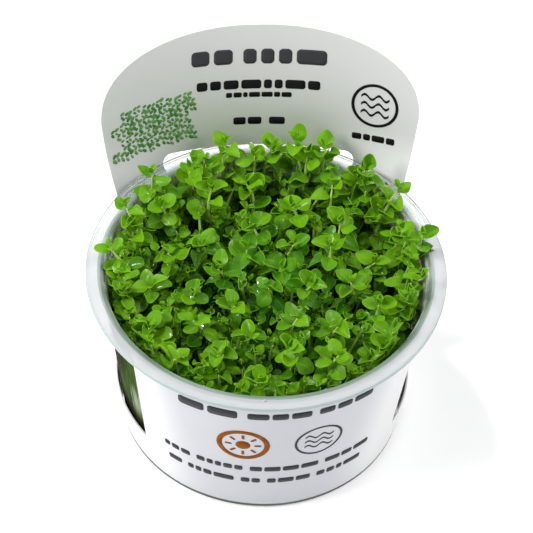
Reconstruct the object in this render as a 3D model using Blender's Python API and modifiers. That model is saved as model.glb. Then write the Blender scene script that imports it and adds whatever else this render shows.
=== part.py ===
"""A carpet of small round-leaved aquarium plants, growing in a clear cup with a printed card sleeve.

The frame has +Z up and its origin at the centre of the cup's underside. The front of the cup
faces -Y and the tall back card of the sleeve stands at +Y.
"""

import math
import random
from dataclasses import dataclass

import bmesh
import bpy
from mathutils import Matrix, Vector
from mathutils.bvhtree import BVHTree

MM = 0.001

# Cup, in millimetres
CUP_HEIGHT = 56.4
FLANGE_RADIUS = 50.0
FLANGE_THICKNESS = 0.9
LIP_DEPTH = 1.1
LIP_WIDTH = 0.7
MOUTH_RADIUS = 46.6
BASE_RADIUS = 40.4
WALL = 0.8
FLOOR = 1.0
WALL_TAPER = 4.5
STEP_HEIGHT = 49.2
STEP_OUT = 0.6
CUP_SEGMENTS = 40

# Sleeve: one thin card with a band, a front panel, two side windows and a tall back card
CARD_THICKNESS = 0.45
BAND_BOTTOM = 0.9
BAND_TOP = 54.6
BAND_RADIUS_BOTTOM = 40.95
BAND_RADIUS_TOP = 46.6
WINDOW_BOTTOM = 14.5
WINDOW_EDGE_LEFT = math.radians(-53.0)
WINDOW_EDGE_RIGHT = math.radians(57.0)
CARD_LEAN = math.radians(13.8)
CARD_CURVE_RADIUS = 91.7
CARD_LEANS_FROM = 48.0
CARD_FLATTENS = (35.0, 65.0)
CARD_HALF_WIDTH = 47.2
CARD_SIDE_TAPER = 0.12
CARD_WIDEST = 15.0
ARCH_RISE = 24.5
ARCH_POWERS = (2.2, 0.41)
SLOT_HALF_LENGTH = 28.6
SLOT_BOTTOM = 51.6
SLOT_TOP = CUP_HEIGHT + 0.5
PANEL_COLUMNS = 14
WINDOW_COLUMNS = 8
STRAIGHT_ROWS = 10
ARCH_ROWS = 8
SLOT_STEPS = 6
SLOT_CUT_REACH = 14.0

# Growth medium and the dense part of the carpet
GAP = 0.35
MEDIUM_TOP = 9.0
CARPET_TOP = 47.5
CARPET_SIDE_GAP = 0.6
CARPET_BACK_DROP = 4.0
CARPET_LEAVES = 84
CARPET_LEAF = 6.4
CARPET_LEAF_RADIUS = 38.5
CARPET_LEAF_PHASE = 1.1
CARPET_LEAF_SEED = 7
CARPET_LEAF_CLEARANCE = 2.1
CARPET_SEGMENTS = 26
CARPET_RINGS = 12

# Plantlets that stand above the dense part
STEM_RADIUS = 0.55
FOOT_GAP = 0.5
LEAN_THAT_BENDS = 3.3
# Each pair of leaves: its share of the stem, turn and rise in degrees, and relative size
LEAF_PAIRS = ((0.97, 0.0, 32.0, 0.86), (0.62, 90.0, 12.0, 1.0))
LEAF_WIDTH = 0.78
LEAF_THICKNESS = 0.2
SITE_COUNT = 42
SITE_RADIUS = 40.5
SITE_PHASE = math.radians(355.0)
SITE_SPACING_TO_TALL = 8.8
GOLDEN_ANGLE = math.pi * (3.0 - math.sqrt(5.0))
TIP_HEIGHT = 57.0

COLOURS = {
    "clear_plastic": ((0.86, 0.89, 0.88), 0.08),
    "label_card": ((0.86, 0.87, 0.86), 0.45),
    "nutrient_gel": ((0.42, 0.47, 0.30), 0.2),
    "foliage": ((0.16, 0.36, 0.02), 0.4),
}


@dataclass(frozen=True)
class Shoot:
    """One plantlet above the dense carpet: where its stem starts and ends, and its leaves."""

    foot: tuple
    tip: tuple
    turn: float
    leaf: float


# Tall shoots along the back and sides, chosen by eye: foot x, y; tip x, y, z; the upper leaves'
# turn from straight outwards, in degrees; leaf length
TALL_SHOOTS = (
    (-27.5, 26.5, -31.0, 30.0, 62.5, 20.0, 4.6),
    (-35.5, 15.0, -38.5, 18.5, 61.5, -15.0, 4.4),
    (-25.0, 17.5, -28.5, 20.5, 59.5, 60.0, 5.2),
    (-17.5, 32.5, -18.5, 37.0, 60.0, -30.0, 5.2),
    (-8.5, 37.0, -10.0, 42.0, 62.0, 15.0, 4.2),
    (-13.0, 24.0, -14.5, 27.0, 59.5, 80.0, 5.6),
    (-3.5, 28.5, -4.0, 32.0, 56.5, 40.0, 4.4),
    (3.0, 36.5, 3.5, 41.5, 61.5, 0.0, 3.7),
    (11.0, 36.0, 10.5, 41.0, 64.0, -10.0, 3.7),
    (19.0, 34.5, 19.0, 39.5, 62.5, 10.0, 3.8),
    (19.5, 24.5, 20.5, 29.0, 58.5, 55.0, 5.6),
    (28.0, 27.0, 30.0, 31.0, 62.0, 20.0, 5.0),
    (34.5, 20.0, 38.5, 24.0, 61.0, -10.0, 3.8),
    (38.5, 5.0, 43.5, 5.5, 61.5, 5.0, 4.6),
    (37.5, -8.0, 42.0, -9.0, 60.0, -15.0, 4.4),
    (-38.5, 3.0, -43.0, 3.5, 61.0, 10.0, 4.6),
)


def mix(start, end, amount):
    """Blend two numbers."""
    return start + (end - start) * amount


def smooth(start, end, value):
    """Rise smoothly from 0 at start to 1 at end."""
    amount = min(1.0, max(0.0, (value - start) / (end - start)))
    return amount * amount * (3.0 - 2.0 * amount)


def band_radius(height):
    """Inner radius of the card band, which tapers with the cup."""
    amount = (height - BAND_BOTTOM) / (BAND_TOP - BAND_BOTTOM)
    return mix(BAND_RADIUS_BOTTOM, BAND_RADIUS_TOP, amount)


def cup_inner_radius(height):
    """Inner radius of the cup's wall below its stacking step."""
    return mix(BASE_RADIUS, BASE_RADIUS + WALL_TAPER, height / STEP_HEIGHT) - WALL


def carpet_surface(x, y):
    """Height of the top of the dense carpet, which is lower towards the back card."""
    waves = math.sin(0.31 * x + 0.4) * math.cos(0.27 * y - 0.3)
    return CARPET_TOP + 1.1 * waves - CARPET_BACK_DROP * smooth(16.0, 40.0, y)


def clear_scene():
    """Remove every object that the file holds."""
    for item in list(bpy.data.objects):
        bpy.data.objects.remove(item, do_unlink=True)


def make_collection(name):
    """Make a collection under the scene's own."""
    collection = bpy.data.collections.new(name)
    bpy.context.scene.collection.children.link(collection)
    return collection


def make_material(name):
    """Make a Principled material from the colour table."""
    colour, roughness = COLOURS[name]
    material = bpy.data.materials.new(name)
    material.use_nodes = True
    shader = material.node_tree.nodes["Principled BSDF"]
    shader.inputs["Base Color"].default_value = (*colour, 1.0)
    shader.inputs["Roughness"].default_value = roughness
    shader.inputs["Metallic"].default_value = 0.0
    shader.inputs["Transmission Weight"].default_value = float(name == "clear_plastic")
    material.diffuse_color = (*colour, 1.0)
    return material


def add_object(name, mesh, collection, material=None):
    """Put a mesh into a collection as a named object."""
    item = bpy.data.objects.new(name, mesh)
    collection.objects.link(item)
    if material is not None:
        mesh.materials.append(material)
    return item


def mesh_from(bm, name):
    """Turn a bmesh whose coordinates are in millimetres into a mesh in metres."""
    bmesh.ops.transform(bm, matrix=Matrix.Scale(MM, 4), verts=bm.verts)
    mesh = bpy.data.meshes.new(name)
    bm.to_mesh(mesh)
    bm.free()
    return mesh


def add_cutter(name, mesh, collection):
    """Put a mesh into the guides' collection, out of the render."""
    cutter = add_object(name, mesh, collection)
    cutter.hide_render = True
    cutter.display_type = "WIRE"
    return cutter


def add_boolean(item, cutter, operation):
    """Cut or join a piece with another mesh."""
    modifier = item.modifiers.new(operation.title(), "BOOLEAN")
    modifier.operation = operation
    modifier.solver = "EXACT"
    modifier.object = cutter
    return modifier


def turned(name, profile, collection, material, segments):
    """Turn a profile of (radius, height) points about the Z axis into one closed piece."""
    bm = bmesh.new()
    points = [bm.verts.new((radius, 0.0, height)) for radius, height in profile]
    for first, second in zip(points, points[1:]):
        bm.edges.new((first, second))
    item = add_object(name, mesh_from(bm, name), collection, material)
    screw = item.modifiers.new("Turn", "SCREW")
    screw.steps = segments
    screw.render_steps = segments
    screw.use_merge_vertices = True
    screw.merge_threshold = 0.00001
    screw.use_smooth_shade = True
    return item


def make_cup(collection, material):
    """Turn the clear cup: floor, tapered wall, stacking step, wide flange and its thin lip."""
    below = BASE_RADIUS + WALL_TAPER
    above = below + STEP_OUT
    flange_under = CUP_HEIGHT - FLANGE_THICKNESS
    profile = [
        (0.0, FLOOR),
        (cup_inner_radius(2.0) - 1.2, FLOOR),
        (cup_inner_radius(2.0), 2.2),
        (below - WALL, STEP_HEIGHT),
        (above - WALL, STEP_HEIGHT + 0.6),
        (above - WALL + 0.5, CUP_HEIGHT - 1.5),
        (MOUTH_RADIUS - 0.6, CUP_HEIGHT - 0.5),
        (MOUTH_RADIUS, CUP_HEIGHT),
        (FLANGE_RADIUS - 0.15, CUP_HEIGHT),
        (FLANGE_RADIUS, CUP_HEIGHT - 0.15),
        (FLANGE_RADIUS, CUP_HEIGHT - LIP_DEPTH),
        (FLANGE_RADIUS - LIP_WIDTH, CUP_HEIGHT - LIP_DEPTH),
        (FLANGE_RADIUS - LIP_WIDTH, flange_under),
        (above + 0.6, flange_under),
        (above, STEP_HEIGHT + 0.4),
        (below, STEP_HEIGHT - 0.6),
        (BASE_RADIUS, 0.8),
        (BASE_RADIUS - 0.8, 0.0),
        (0.0, 0.0),
    ]
    return turned("cup", profile, collection, material, CUP_SEGMENTS)


def card_half_width(height):
    """Half the width of the flat back card at a height, with its tapered sides and arched top."""
    rise = (height - CUP_HEIGHT) / math.cos(CARD_LEAN)
    if height <= WINDOW_BOTTOM:
        lowest = CARD_HALF_WIDTH - CARD_SIDE_TAPER * (CARD_WIDEST - (WINDOW_BOTTOM - CUP_HEIGHT))
        return lowest * band_radius(height) / band_radius(WINDOW_BOTTOM)
    if rise <= CARD_WIDEST:
        return CARD_HALF_WIDTH - CARD_SIDE_TAPER * (CARD_WIDEST - rise)
    outer, inner = ARCH_POWERS
    share = min(1.0, (rise - CARD_WIDEST) / ARCH_RISE)
    return CARD_HALF_WIDTH * (1.0 - share ** (1.0 / inner)) ** (1.0 / outer)


def card_point(across, height):
    """Place a point of the back card, which follows the cup below and flattens and leans above."""
    flatness = smooth(*CARD_FLATTENS, height)
    follow = band_radius(min(height, CARD_LEANS_FROM))
    lean_height = max(0.0, height - CARD_LEANS_FROM)
    back = follow + lean_height * math.tan(CARD_LEAN)
    radius = 1.0 / mix(1.0 / follow, 1.0 / CARD_CURVE_RADIUS, flatness)
    sag = radius * (1.0 - math.cos(across / radius))
    lift = flatness * sag * math.sin(CARD_LEAN)
    return Vector((radius * math.sin(across / radius), back - sag, height + lift))


def band_point(azimuth, height):
    """Place a point of the band, at an azimuth measured from the front."""
    radius = band_radius(height)
    return Vector((radius * math.sin(azimuth), -radius * math.cos(azimuth), height))


def card_rows():
    """Heights of the back card's rows, closer together where the arch turns over."""
    widest = CUP_HEIGHT + CARD_WIDEST * math.cos(CARD_LEAN)
    straight = [mix(WINDOW_BOTTOM, widest, row / STRAIGHT_ROWS) for row in range(STRAIGHT_ROWS)]
    rise = ARCH_RISE * math.cos(CARD_LEAN) * 0.998
    arch = [widest + rise * math.sin(0.5 * math.pi * row / ARCH_ROWS) for row in range(ARCH_ROWS + 1)]
    return [BAND_BOTTOM] + straight + arch


def add_panel(bm, columns, heights, place):
    """Add a grid and move each of its points to where place(column share, height) puts it."""
    rows = len(heights) - 1
    grid = bmesh.ops.create_grid(bm, x_segments=columns, y_segments=rows, size=1.0)
    for vert in grid["verts"]:
        row = round((vert.co.y + 1.0) / 2.0 * rows)
        vert.co = place((vert.co.x + 1.0) / 2.0, heights[row])


def make_sleeve(collection, cutters, material):
    """Make the sleeve from four panels of one card, and cut the slot that the flange passes."""
    bm = bmesh.new()
    back_edge = math.pi - card_half_width(WINDOW_BOTTOM) / band_radius(WINDOW_BOTTOM)
    front_heights = [BAND_BOTTOM, WINDOW_BOTTOM, BAND_TOP]
    add_panel(bm, PANEL_COLUMNS, front_heights,
              lambda share, height: band_point(mix(WINDOW_EDGE_LEFT, WINDOW_EDGE_RIGHT, share), height))
    for start, end in ((WINDOW_EDGE_RIGHT, back_edge), (-back_edge, WINDOW_EDGE_LEFT)):
        add_panel(bm, WINDOW_COLUMNS, front_heights[:2],
                  lambda share, height, a=start, b=end: band_point(mix(a, b, share), height))
    add_panel(bm, PANEL_COLUMNS, card_rows(),
              lambda share, height: card_point(mix(-1.0, 1.0, share) * card_half_width(height), height))
    bmesh.ops.remove_doubles(bm, verts=bm.verts, dist=0.02)
    bmesh.ops.recalc_face_normals(bm, faces=bm.faces)
    front = min(bm.faces, key=lambda face: face.calc_center_median().y)
    if front.normal.y > 0.0:
        bmesh.ops.reverse_faces(bm, faces=bm.faces)
    sleeve = add_object("label_sleeve", mesh_from(bm, "label_sleeve"), collection, material)
    solidify = sleeve.modifiers.new("Card", "SOLIDIFY")
    solidify.thickness = CARD_THICKNESS * MM
    solidify.offset = 1.0
    solidify.use_even_offset = True
    add_boolean(sleeve, make_slot_cutter(cutters), "DIFFERENCE")
    return sleeve


def slot_outline():
    """List the slot's outline, across and up the card: two straight edges and two round ends."""
    radius = 0.5 * (SLOT_TOP - SLOT_BOTTOM)
    middle = 0.5 * (SLOT_TOP + SLOT_BOTTOM)
    straight = SLOT_HALF_LENGTH - radius
    outline = []
    for side in (1.0, -1.0):
        for step in range(1, SLOT_STEPS):
            outline.append((side * mix(-straight, straight, step / SLOT_STEPS), middle - side * radius))
        for step in range(SLOT_STEPS + 1):
            angle = math.pi * (step / SLOT_STEPS - 0.5)
            across = side * (straight + radius * math.cos(angle))
            outline.append((across, middle + side * radius * math.sin(angle)))
    return outline


def make_slot_cutter(cutters):
    """Make the cutter of the slot, which follows the card's curve upwards at its ends."""
    near, far = CARD_LEANS_FROM - SLOT_CUT_REACH, CARD_LEANS_FROM + SLOT_CUT_REACH
    bm = bmesh.new()
    corners = []
    for across, height in slot_outline():
        place = card_point(across, height)
        corners.append(bm.verts.new((place.x, near, place.z)))
    face = bm.faces.new(corners)
    sweep = bmesh.ops.extrude_face_region(bm, geom=[face])
    moved = [part for part in sweep["geom"] if isinstance(part, bmesh.types.BMVert)]
    bmesh.ops.translate(bm, verts=moved, vec=(0.0, far - near, 0.0))
    bmesh.ops.recalc_face_normals(bm, faces=bm.faces)
    return add_cutter("slot_cutter", mesh_from(bm, "slot_cutter"), cutters)


def make_medium(collection, material):
    """Make the gel: a shallow tapered disc that fits the cup's floor."""
    bottom = FLOOR + GAP
    bm = bmesh.new()
    bmesh.ops.create_cone(
        bm, cap_ends=True, segments=40, depth=MEDIUM_TOP - bottom,
        radius1=cup_inner_radius(2.0) - 1.6, radius2=cup_inner_radius(MEDIUM_TOP) - GAP,
        matrix=Matrix.Translation((0.0, 0.0, 0.5 * (MEDIUM_TOP + bottom))))
    mesh = mesh_from(bm, "growth_medium")
    mesh.shade_smooth()
    mesh.set_sharp_from_angle(angle=math.radians(40.0))
    return add_object("growth_medium", mesh, collection, material)


def shoots():
    """List the plantlets: the tall ones, then an even spread over the rest of the mouth."""
    found = [Shoot((fx, fy), (tx, ty, tz), math.atan2(fy, fx) + math.radians(turn), leaf)
             for fx, fy, tx, ty, tz, turn, leaf in TALL_SHOOTS]
    tall = list(found)
    for index in range(SITE_COUNT):
        radius = SITE_RADIUS * math.sqrt((index + 0.5) / SITE_COUNT)
        angle = index * GOLDEN_ANGLE + SITE_PHASE
        x, y = radius * math.cos(angle), radius * math.sin(angle)
        if any(math.dist((x, y), other.foot) < SITE_SPACING_TO_TALL for other in tall):
            continue
        outward = 1.0 + 0.07 * radius / SITE_RADIUS
        height = TIP_HEIGHT + 1.6 * (index % 3 - 1) - 2.0 * smooth(24.0, 40.0, y)
        leaf = 5.5 + 0.5 * math.sin(2.4 * index)
        freedom = 1.0 - 0.9 * smooth(22.0, 34.0, radius)
        turn = angle + (1.9 * index % math.tau - math.pi) * freedom
        found.append(Shoot((x, y), (x * outward, y * outward, height), turn, leaf))
    return found


def leaf_matrix(base, azimuth, rise, length):
    """Place a flat leaf: from its base, outwards at an azimuth, rising at an angle."""
    turn = Matrix.Rotation(azimuth, 4, "Z") @ Matrix.Rotation(-rise, 4, "Y")
    shift = Matrix.Translation((0.5 * length + 0.15, 0.0, 0.0))
    size = Matrix.Diagonal((length, length * LEAF_WIDTH, length * LEAF_THICKNESS, 1.0))
    return Matrix.Translation(base) @ turn @ shift @ size


def add_leaf(bm, matrix):
    """Add one leaf as a flat seven-sided lens, pointed where it meets the stem."""
    half_turn = Matrix.Rotation(math.pi, 4, "Z")
    bmesh.ops.create_uvsphere(bm, u_segments=7, v_segments=2, radius=0.5, matrix=matrix @ half_turn)


def stem_points(shoot, foot_height):
    """List a stem's bends: it leaves the carpet upright and then leans towards its tip."""
    foot = Vector((*shoot.foot, foot_height))
    tip = Vector(shoot.tip)
    middle = Vector((mix(foot.x, tip.x, 0.35), mix(foot.y, tip.y, 0.35), mix(foot.z, tip.z, 0.5)))
    leaning = math.dist(shoot.foot, shoot.tip[:2]) > LEAN_THAT_BENDS
    return [foot, middle, tip] if leaning else [foot, tip]


def along(points, share):
    """Find the place at a share of the way along evenly spaced points."""
    place = share * (len(points) - 1)
    first = min(int(place), len(points) - 2)
    return points[first].lerp(points[first + 1], place - first)


def make_stem(name, points):
    """Make a thin round stem through the points, as a closed mesh."""
    curve = bpy.data.curves.new(name, "CURVE")
    curve.dimensions = "3D"
    curve.bevel_depth = STEM_RADIUS * MM
    curve.bevel_resolution = 1
    curve.use_fill_caps = True
    spline = curve.splines.new("POLY")
    spline.points.add(len(points) - 1)
    for slot, point in zip(spline.points, points):
        slot.co = (*(point * MM), 1.0)
    spline.points[-1].radius = 0.7
    guide = bpy.data.objects.new(name, curve)
    bpy.context.scene.collection.objects.link(guide)
    depsgraph = bpy.context.evaluated_depsgraph_get()
    mesh = bpy.data.meshes.new_from_object(guide.evaluated_get(depsgraph))
    bpy.data.objects.remove(guide, do_unlink=True)
    bpy.data.curves.remove(curve)
    bm = bmesh.new()
    bm.from_mesh(mesh)
    bmesh.ops.remove_doubles(bm, verts=bm.verts, dist=0.00001)
    bm.to_mesh(mesh)
    bm.free()
    return mesh


def height_on(surface, x, y, radius):
    """Greatest height of a surface round a place, found from above."""
    heights = []
    for step in range(8):
        angle = 0.25 * math.pi * step
        above = Vector((x + radius * math.cos(angle), y + radius * math.sin(angle), 2.0 * CUP_HEIGHT))
        heights.append(surface.ray_cast(above * MM, Vector((0.0, 0.0, -1.0)))[0].z / MM)
    return max(heights)


def make_plantlet(index, shoot, carpet, collection, cutters, material):
    """Make one plantlet: a stem with two crossed pairs of leaves fused to it."""
    name = f"plantlet_{index:02d}"
    foot_height = height_on(carpet, *shoot.foot, 1.2 * STEM_RADIUS) + FOOT_GAP
    points = stem_points(shoot, foot_height)
    plantlet = add_object(name, make_stem(name, points), collection, material)
    bm = bmesh.new()
    for share, turn, rise, size in LEAF_PAIRS:
        base = along(points, share)
        for side in (0.0, math.pi):
            azimuth = shoot.turn + math.radians(turn) + side
            add_leaf(bm, leaf_matrix(base, azimuth, math.radians(rise), shoot.leaf * size))
    leaves = add_cutter(f"{name}_leaves", mesh_from(bm, f"{name}_leaves"), cutters)
    add_boolean(plantlet, leaves, "UNION")
    return plantlet


def make_carpet(collection, cutters, material, standing):
    """Make the dense part of the carpet: a tapered drum with leaves fused to its uneven top."""
    name = "carpet_mat"
    bm = bmesh.new()
    bmesh.ops.create_uvsphere(bm, u_segments=CARPET_SEGMENTS, v_segments=CARPET_RINGS, radius=1.0)
    bottom = MEDIUM_TOP + GAP
    corner = math.radians(60.0)
    for vert in bm.verts:
        reach = min(1.0, math.hypot(vert.co.x, vert.co.y) / math.sin(corner))
        level = min(1.0, max(-1.0, vert.co.z / math.cos(corner)))
        angle = math.atan2(vert.co.y, vert.co.x)
        outward = Vector((math.cos(angle), math.sin(angle), 0.0))
        top = carpet_surface(*(BASE_RADIUS * reach * outward).xy)
        height = mix(bottom, top, 0.5 + 0.5 * level)
        vert.co = outward * reach * (cup_inner_radius(height) - CARPET_SIDE_GAP) + Vector((0.0, 0.0, height))
    bmesh.ops.triangulate(bm, faces=bm.faces)
    mat = add_object(name, mesh_from(bm, name), collection, material)
    depsgraph = bpy.context.evaluated_depsgraph_get()
    drum = BVHTree.FromObject(mat, depsgraph)
    leaves = add_cutter("carpet_leaves", scattered_leaves(drum, standing), cutters)
    union = add_boolean(mat, leaves, "UNION")
    union.use_self = True
    depsgraph.update()
    return BVHTree.FromObject(mat, depsgraph)


def scattered_leaves(drum, standing):
    """Scatter leaves over the carpet's top, half sunk in it and clear of the standing stems."""
    leaves = bmesh.new()
    generator = random.Random(CARPET_LEAF_SEED)
    for index in range(CARPET_LEAVES):
        radius = CARPET_LEAF_RADIUS * math.sqrt((index + 0.5) / CARPET_LEAVES)
        angle = index * GOLDEN_ANGLE + CARPET_LEAF_PHASE
        turn, rise = generator.uniform(0.0, 2.0 * math.pi), generator.uniform(14.0, 30.0)
        x, y = radius * math.cos(angle), radius * math.sin(angle)
        clearance = 0.5 * CARPET_LEAF + CARPET_LEAF_CLEARANCE
        if any(math.dist((x, y), shoot.foot) < clearance for shoot in standing):
            continue
        base = Vector((x, y, height_on(drum, x, y, 0.5) - 0.3))
        matrix = leaf_matrix(base, turn, math.radians(rise), CARPET_LEAF)
        add_leaf(leaves, matrix @ Matrix.Translation((-0.4, 0.0, 0.0)))
    return mesh_from(leaves, "carpet_leaves")


def main():
    """Build every piece of the cup, its sleeve and its plants."""
    clear_scene()
    collection = make_collection("monte_carlo_carpet_plant")
    cutters = make_collection("cutters")
    materials = {name: make_material(name) for name in COLOURS}
    make_cup(collection, materials["clear_plastic"])
    make_sleeve(collection, cutters, materials["label_card"])
    make_medium(collection, materials["nutrient_gel"])
    standing = shoots()
    carpet = make_carpet(collection, cutters, materials["foliage"], standing)
    for index, shoot in enumerate(standing, start=1):
        make_plantlet(index, shoot, carpet, collection, cutters, materials["foliage"])


main()
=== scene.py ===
"""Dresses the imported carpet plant: its clear cup, card sleeve, gel and the many small plantlets.

Shapes are worked out in millimetres, with the frame's own axes, and placed in metres.
"""

import logging
import math
import random
from dataclasses import dataclass
from enum import Enum
from typing import Callable, Iterable, Mapping, Sequence, Union

import bmesh
import bpy
from mathutils import Matrix, Vector


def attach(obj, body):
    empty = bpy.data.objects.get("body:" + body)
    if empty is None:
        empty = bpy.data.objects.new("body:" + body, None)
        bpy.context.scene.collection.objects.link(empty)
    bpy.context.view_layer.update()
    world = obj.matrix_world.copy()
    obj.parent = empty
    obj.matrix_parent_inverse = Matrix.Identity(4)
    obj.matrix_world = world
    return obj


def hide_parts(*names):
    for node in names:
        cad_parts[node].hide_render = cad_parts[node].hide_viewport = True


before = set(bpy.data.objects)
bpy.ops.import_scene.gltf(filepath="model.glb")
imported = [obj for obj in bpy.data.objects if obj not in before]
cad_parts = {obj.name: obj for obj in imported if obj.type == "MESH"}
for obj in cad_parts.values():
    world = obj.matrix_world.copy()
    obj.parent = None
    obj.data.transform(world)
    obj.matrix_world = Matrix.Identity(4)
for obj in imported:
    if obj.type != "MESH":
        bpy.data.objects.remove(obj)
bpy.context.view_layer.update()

log = logging.getLogger("carpet_plant")
MM = 0.001
GOLDEN_ANGLE = math.pi * (3.0 - math.sqrt(5.0))
UP = Vector((0.0, 0.0, 1.0))
UV_NAME = "UVMap"
TONE_NAME = "tone"

Colour = tuple[float, float, float]
Place = tuple[float, float, float]
Span = tuple[float, float]


def mix(start: float, end: float, amount: float) -> float:
    """Blend two numbers."""
    return start + (end - start) * amount


def smooth(start: float, end: float, value: float) -> float:
    """Rise smoothly from 0 at start to 1 at end."""
    amount = min(1.0, max(0.0, (value - start) / (end - start)))
    return amount * amount * (3.0 - 2.0 * amount)


def stations(start: float, end: float, count: int) -> list[float]:
    """List the ends of a number of equal steps, from start to end."""
    return [mix(start, end, step / count) for step in range(count + 1)]


def spread(count: int, reach: float, phase: float = 0.0) -> list[Span]:
    """Spread places evenly over a disc, as the seeds of a sunflower lie.

    Args:
        count: Number of places.
        reach: The disc's radius.
        phase: Angle of the first place.

    Returns:
        Their (radius, angle) pairs.
    """
    return [(reach * math.sqrt((index + 0.5) / count), index * GOLDEN_ANGLE + phase)
            for index in range(count)]


def polar(radius: float, angle: float, height: float = 0.0) -> Vector:
    """Place a point by its distance from the upright axis, angle and height."""
    return Vector((radius * math.cos(angle), radius * math.sin(angle), height))


def held_in(point: Vector, limit: float) -> Vector:
    """Move a point that is too far from the upright axis in to the limit."""
    reach = point.xy.length
    return point if reach <= limit else Vector((*(point.xy * limit / reach), point.z))


def put(name: str, data: bpy.types.ID) -> bpy.types.Object:
    """Put a new object with some data into the scene.

    Args:
        name: The object's name.
        data: Its mesh, lamp or camera.

    Returns:
        The new object.
    """
    made = bpy.data.objects.new(name, data)
    bpy.context.scene.collection.objects.link(made)
    return made


class Slot(Enum):
    """The record's material slots."""

    CLEAR = "clear_plastic"
    CARD = "label_card"
    GEL = "nutrient_gel"
    FOLIAGE = "foliage"


# Shader maths


class Bench:
    """The node tree of one material, with one way to add a node of any kind."""

    def __init__(self, tree: bpy.types.NodeTree) -> None:
        """Empty the tree.

        Args:
            tree: The node tree to build in.
        """
        self.tree = tree
        tree.nodes.clear()

    def feed(self, socket: bpy.types.NodeSocket, value: object) -> None:
        """Link a term or a socket to a socket, or set its own value.

        Args:
            socket: The input that is fed.
            value: A term, an output socket, a number or a colour.
        """
        if isinstance(value, Term):
            value = value.socket
        if isinstance(value, bpy.types.NodeSocket):
            self.tree.links.new(value, socket)
        elif isinstance(value, tuple) and len(value) == 3 and socket.type == "RGBA":
            socket.default_value = (*value, 1.0)
        else:
            socket.default_value = value

    def node(self, kind: str, settings: Mapping[str, object] = {},
             sockets: Mapping[Union[int, str], object] = {}) -> bpy.types.Node:
        """Add a node.

        Args:
            kind: The node's type.
            settings: Its properties, set first; "stops" are a ramp's (place, colour) pairs.
            sockets: Values or links of its inputs, by name or number.

        Returns:
            The new node.
        """
        made = self.tree.nodes.new(kind)
        for name, value in settings.items():
            if name == "stops":
                elements = made.color_ramp.elements
                while len(elements) < len(value):
                    elements.new(1.0)
                for element, (place, colour) in zip(elements, value):
                    element.position = place
                    element.color = (*colour, 1.0)
            else:
                setattr(made, name, value)
        for key, value in sockets.items():
            self.feed(made.inputs[key], value)
        return made

    def maths(self, operation: str, *values: object) -> "Term":
        """Add a Math node and return its result as a term."""
        made = self.node("ShaderNodeMath", {"operation": operation}, dict(enumerate(values)))
        return Term(self, made.outputs[0])

    def blend(self, amount: object, first: object, second: object) -> "Term":
        """Mix two colours by the share of the second one."""
        made = self.node("ShaderNodeMix", {"data_type": "RGBA"}, {0: amount, 6: first, 7: second})
        return Term(self, made.outputs[2])

    def coats(self, colour: object, *coats: tuple[object, object]) -> object:
        """Lay coats of (share, colour) over a colour, one after another.

        Args:
            colour: The colour beneath.
            coats: Pairs of a share and a colour.

        Returns:
            The colour that shows.
        """
        for share, coat in coats:
            colour = self.blend(share, colour, coat)
        return colour

    def ramp(self, value: object, *stops: tuple[float, Colour]) -> "Term":
        """Turn a value into a colour by a ramp of (place, colour) stops."""
        made = self.node("ShaderNodeValToRGB", {"stops": stops}, {0: value})
        return Term(self, made.outputs[0])

    def noise(self, scale: float, detail: float = 2.0, vector: object = None,
              distortion: float = 0.0) -> "Term":
        """Add noise on the piece's own coordinates.

        Args:
            scale: Waves per metre, or per unit of the vector.
            detail: Number of finer octaves.
            vector: Coordinates to use in place of Object coordinates.
            distortion: How far the noise bends itself.

        Returns:
            The noise, from 0 to 1.
        """
        made = self.node("ShaderNodeTexNoise", {}, {
            "Vector": self.place() if vector is None else vector,
            "Scale": scale, "Detail": detail, "Distortion": distortion})
        return Term(self, made.outputs[0])

    def streaks(self, level: float, up: float, detail: float, distortion: float = 0.0) -> "Term":
        """Add noise that is drawn out on the level or upwards.

        Args:
            level: Waves per metre on the level.
            up: Waves per metre upwards.
            detail: Number of finer octaves.
            distortion: How far the noise bends itself.

        Returns:
            The noise, from 0 to 1.
        """
        x, y, z = self.axes(self.place())
        made = self.node("ShaderNodeCombineXYZ", {}, {0: x * level, 1: y * level, 2: z * up})
        return self.noise(1.0, detail, made.outputs[0], distortion)

    def cells(self, scale: float) -> "Term":
        """Add the distance from the points of a cell pattern on Object coordinates."""
        made = self.node("ShaderNodeTexVoronoi", {}, {"Vector": self.place(), "Scale": scale})
        return Term(self, made.outputs["Distance"])

    def place(self) -> "Term":
        """Object coordinates, in metres."""
        return Term(self, self.node("ShaderNodeTexCoord").outputs["Object"])

    def axes(self, vector: "Term") -> tuple["Term", "Term", "Term"]:
        """Split a vector into its three parts."""
        made = self.node("ShaderNodeSeparateXYZ", {}, {0: vector})
        return tuple(Term(self, output) for output in made.outputs)

    def reach(self, x: "Term", y: "Term") -> "Term":
        """Distance from the upright axis."""
        return self.maths("SQRT", x * x + y * y)

    def chart(self) -> tuple["Term", "Term", "Term"]:
        """The two directions of the piece's own UV map, and an unused third."""
        made = self.node("ShaderNodeUVMap", {"uv_map": UV_NAME})
        return self.axes(Term(self, made.outputs[0]))

    def tone(self) -> "Term":
        """The plant's own tone: 0 for old and shaded parts, 1 for young and lit ones."""
        made = self.node("ShaderNodeAttribute", {"attribute_name": TONE_NAME})
        return Term(self, made.outputs["Fac"])

    def band(self, value: "Term", start: float, end: float) -> "Term":
        """A mask that rises smoothly from 0 at start to 1 at end.

        Args:
            value: The value.
            start: Where the mask leaves 0.
            end: Where it reaches 1.

        Returns:
            The mask.
        """
        made = self.node("ShaderNodeMapRange", {"interpolation_type": "SMOOTHSTEP"},
                         {"Value": value, "From Min": start, "From Max": end})
        return Term(self, made.outputs[0])

    def fall(self, value: "Term", start: float, end: float) -> "Term":
        """A mask that falls smoothly from 1 at start to 0 at end."""
        return 1.0 - self.band(value, start, end)

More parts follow.
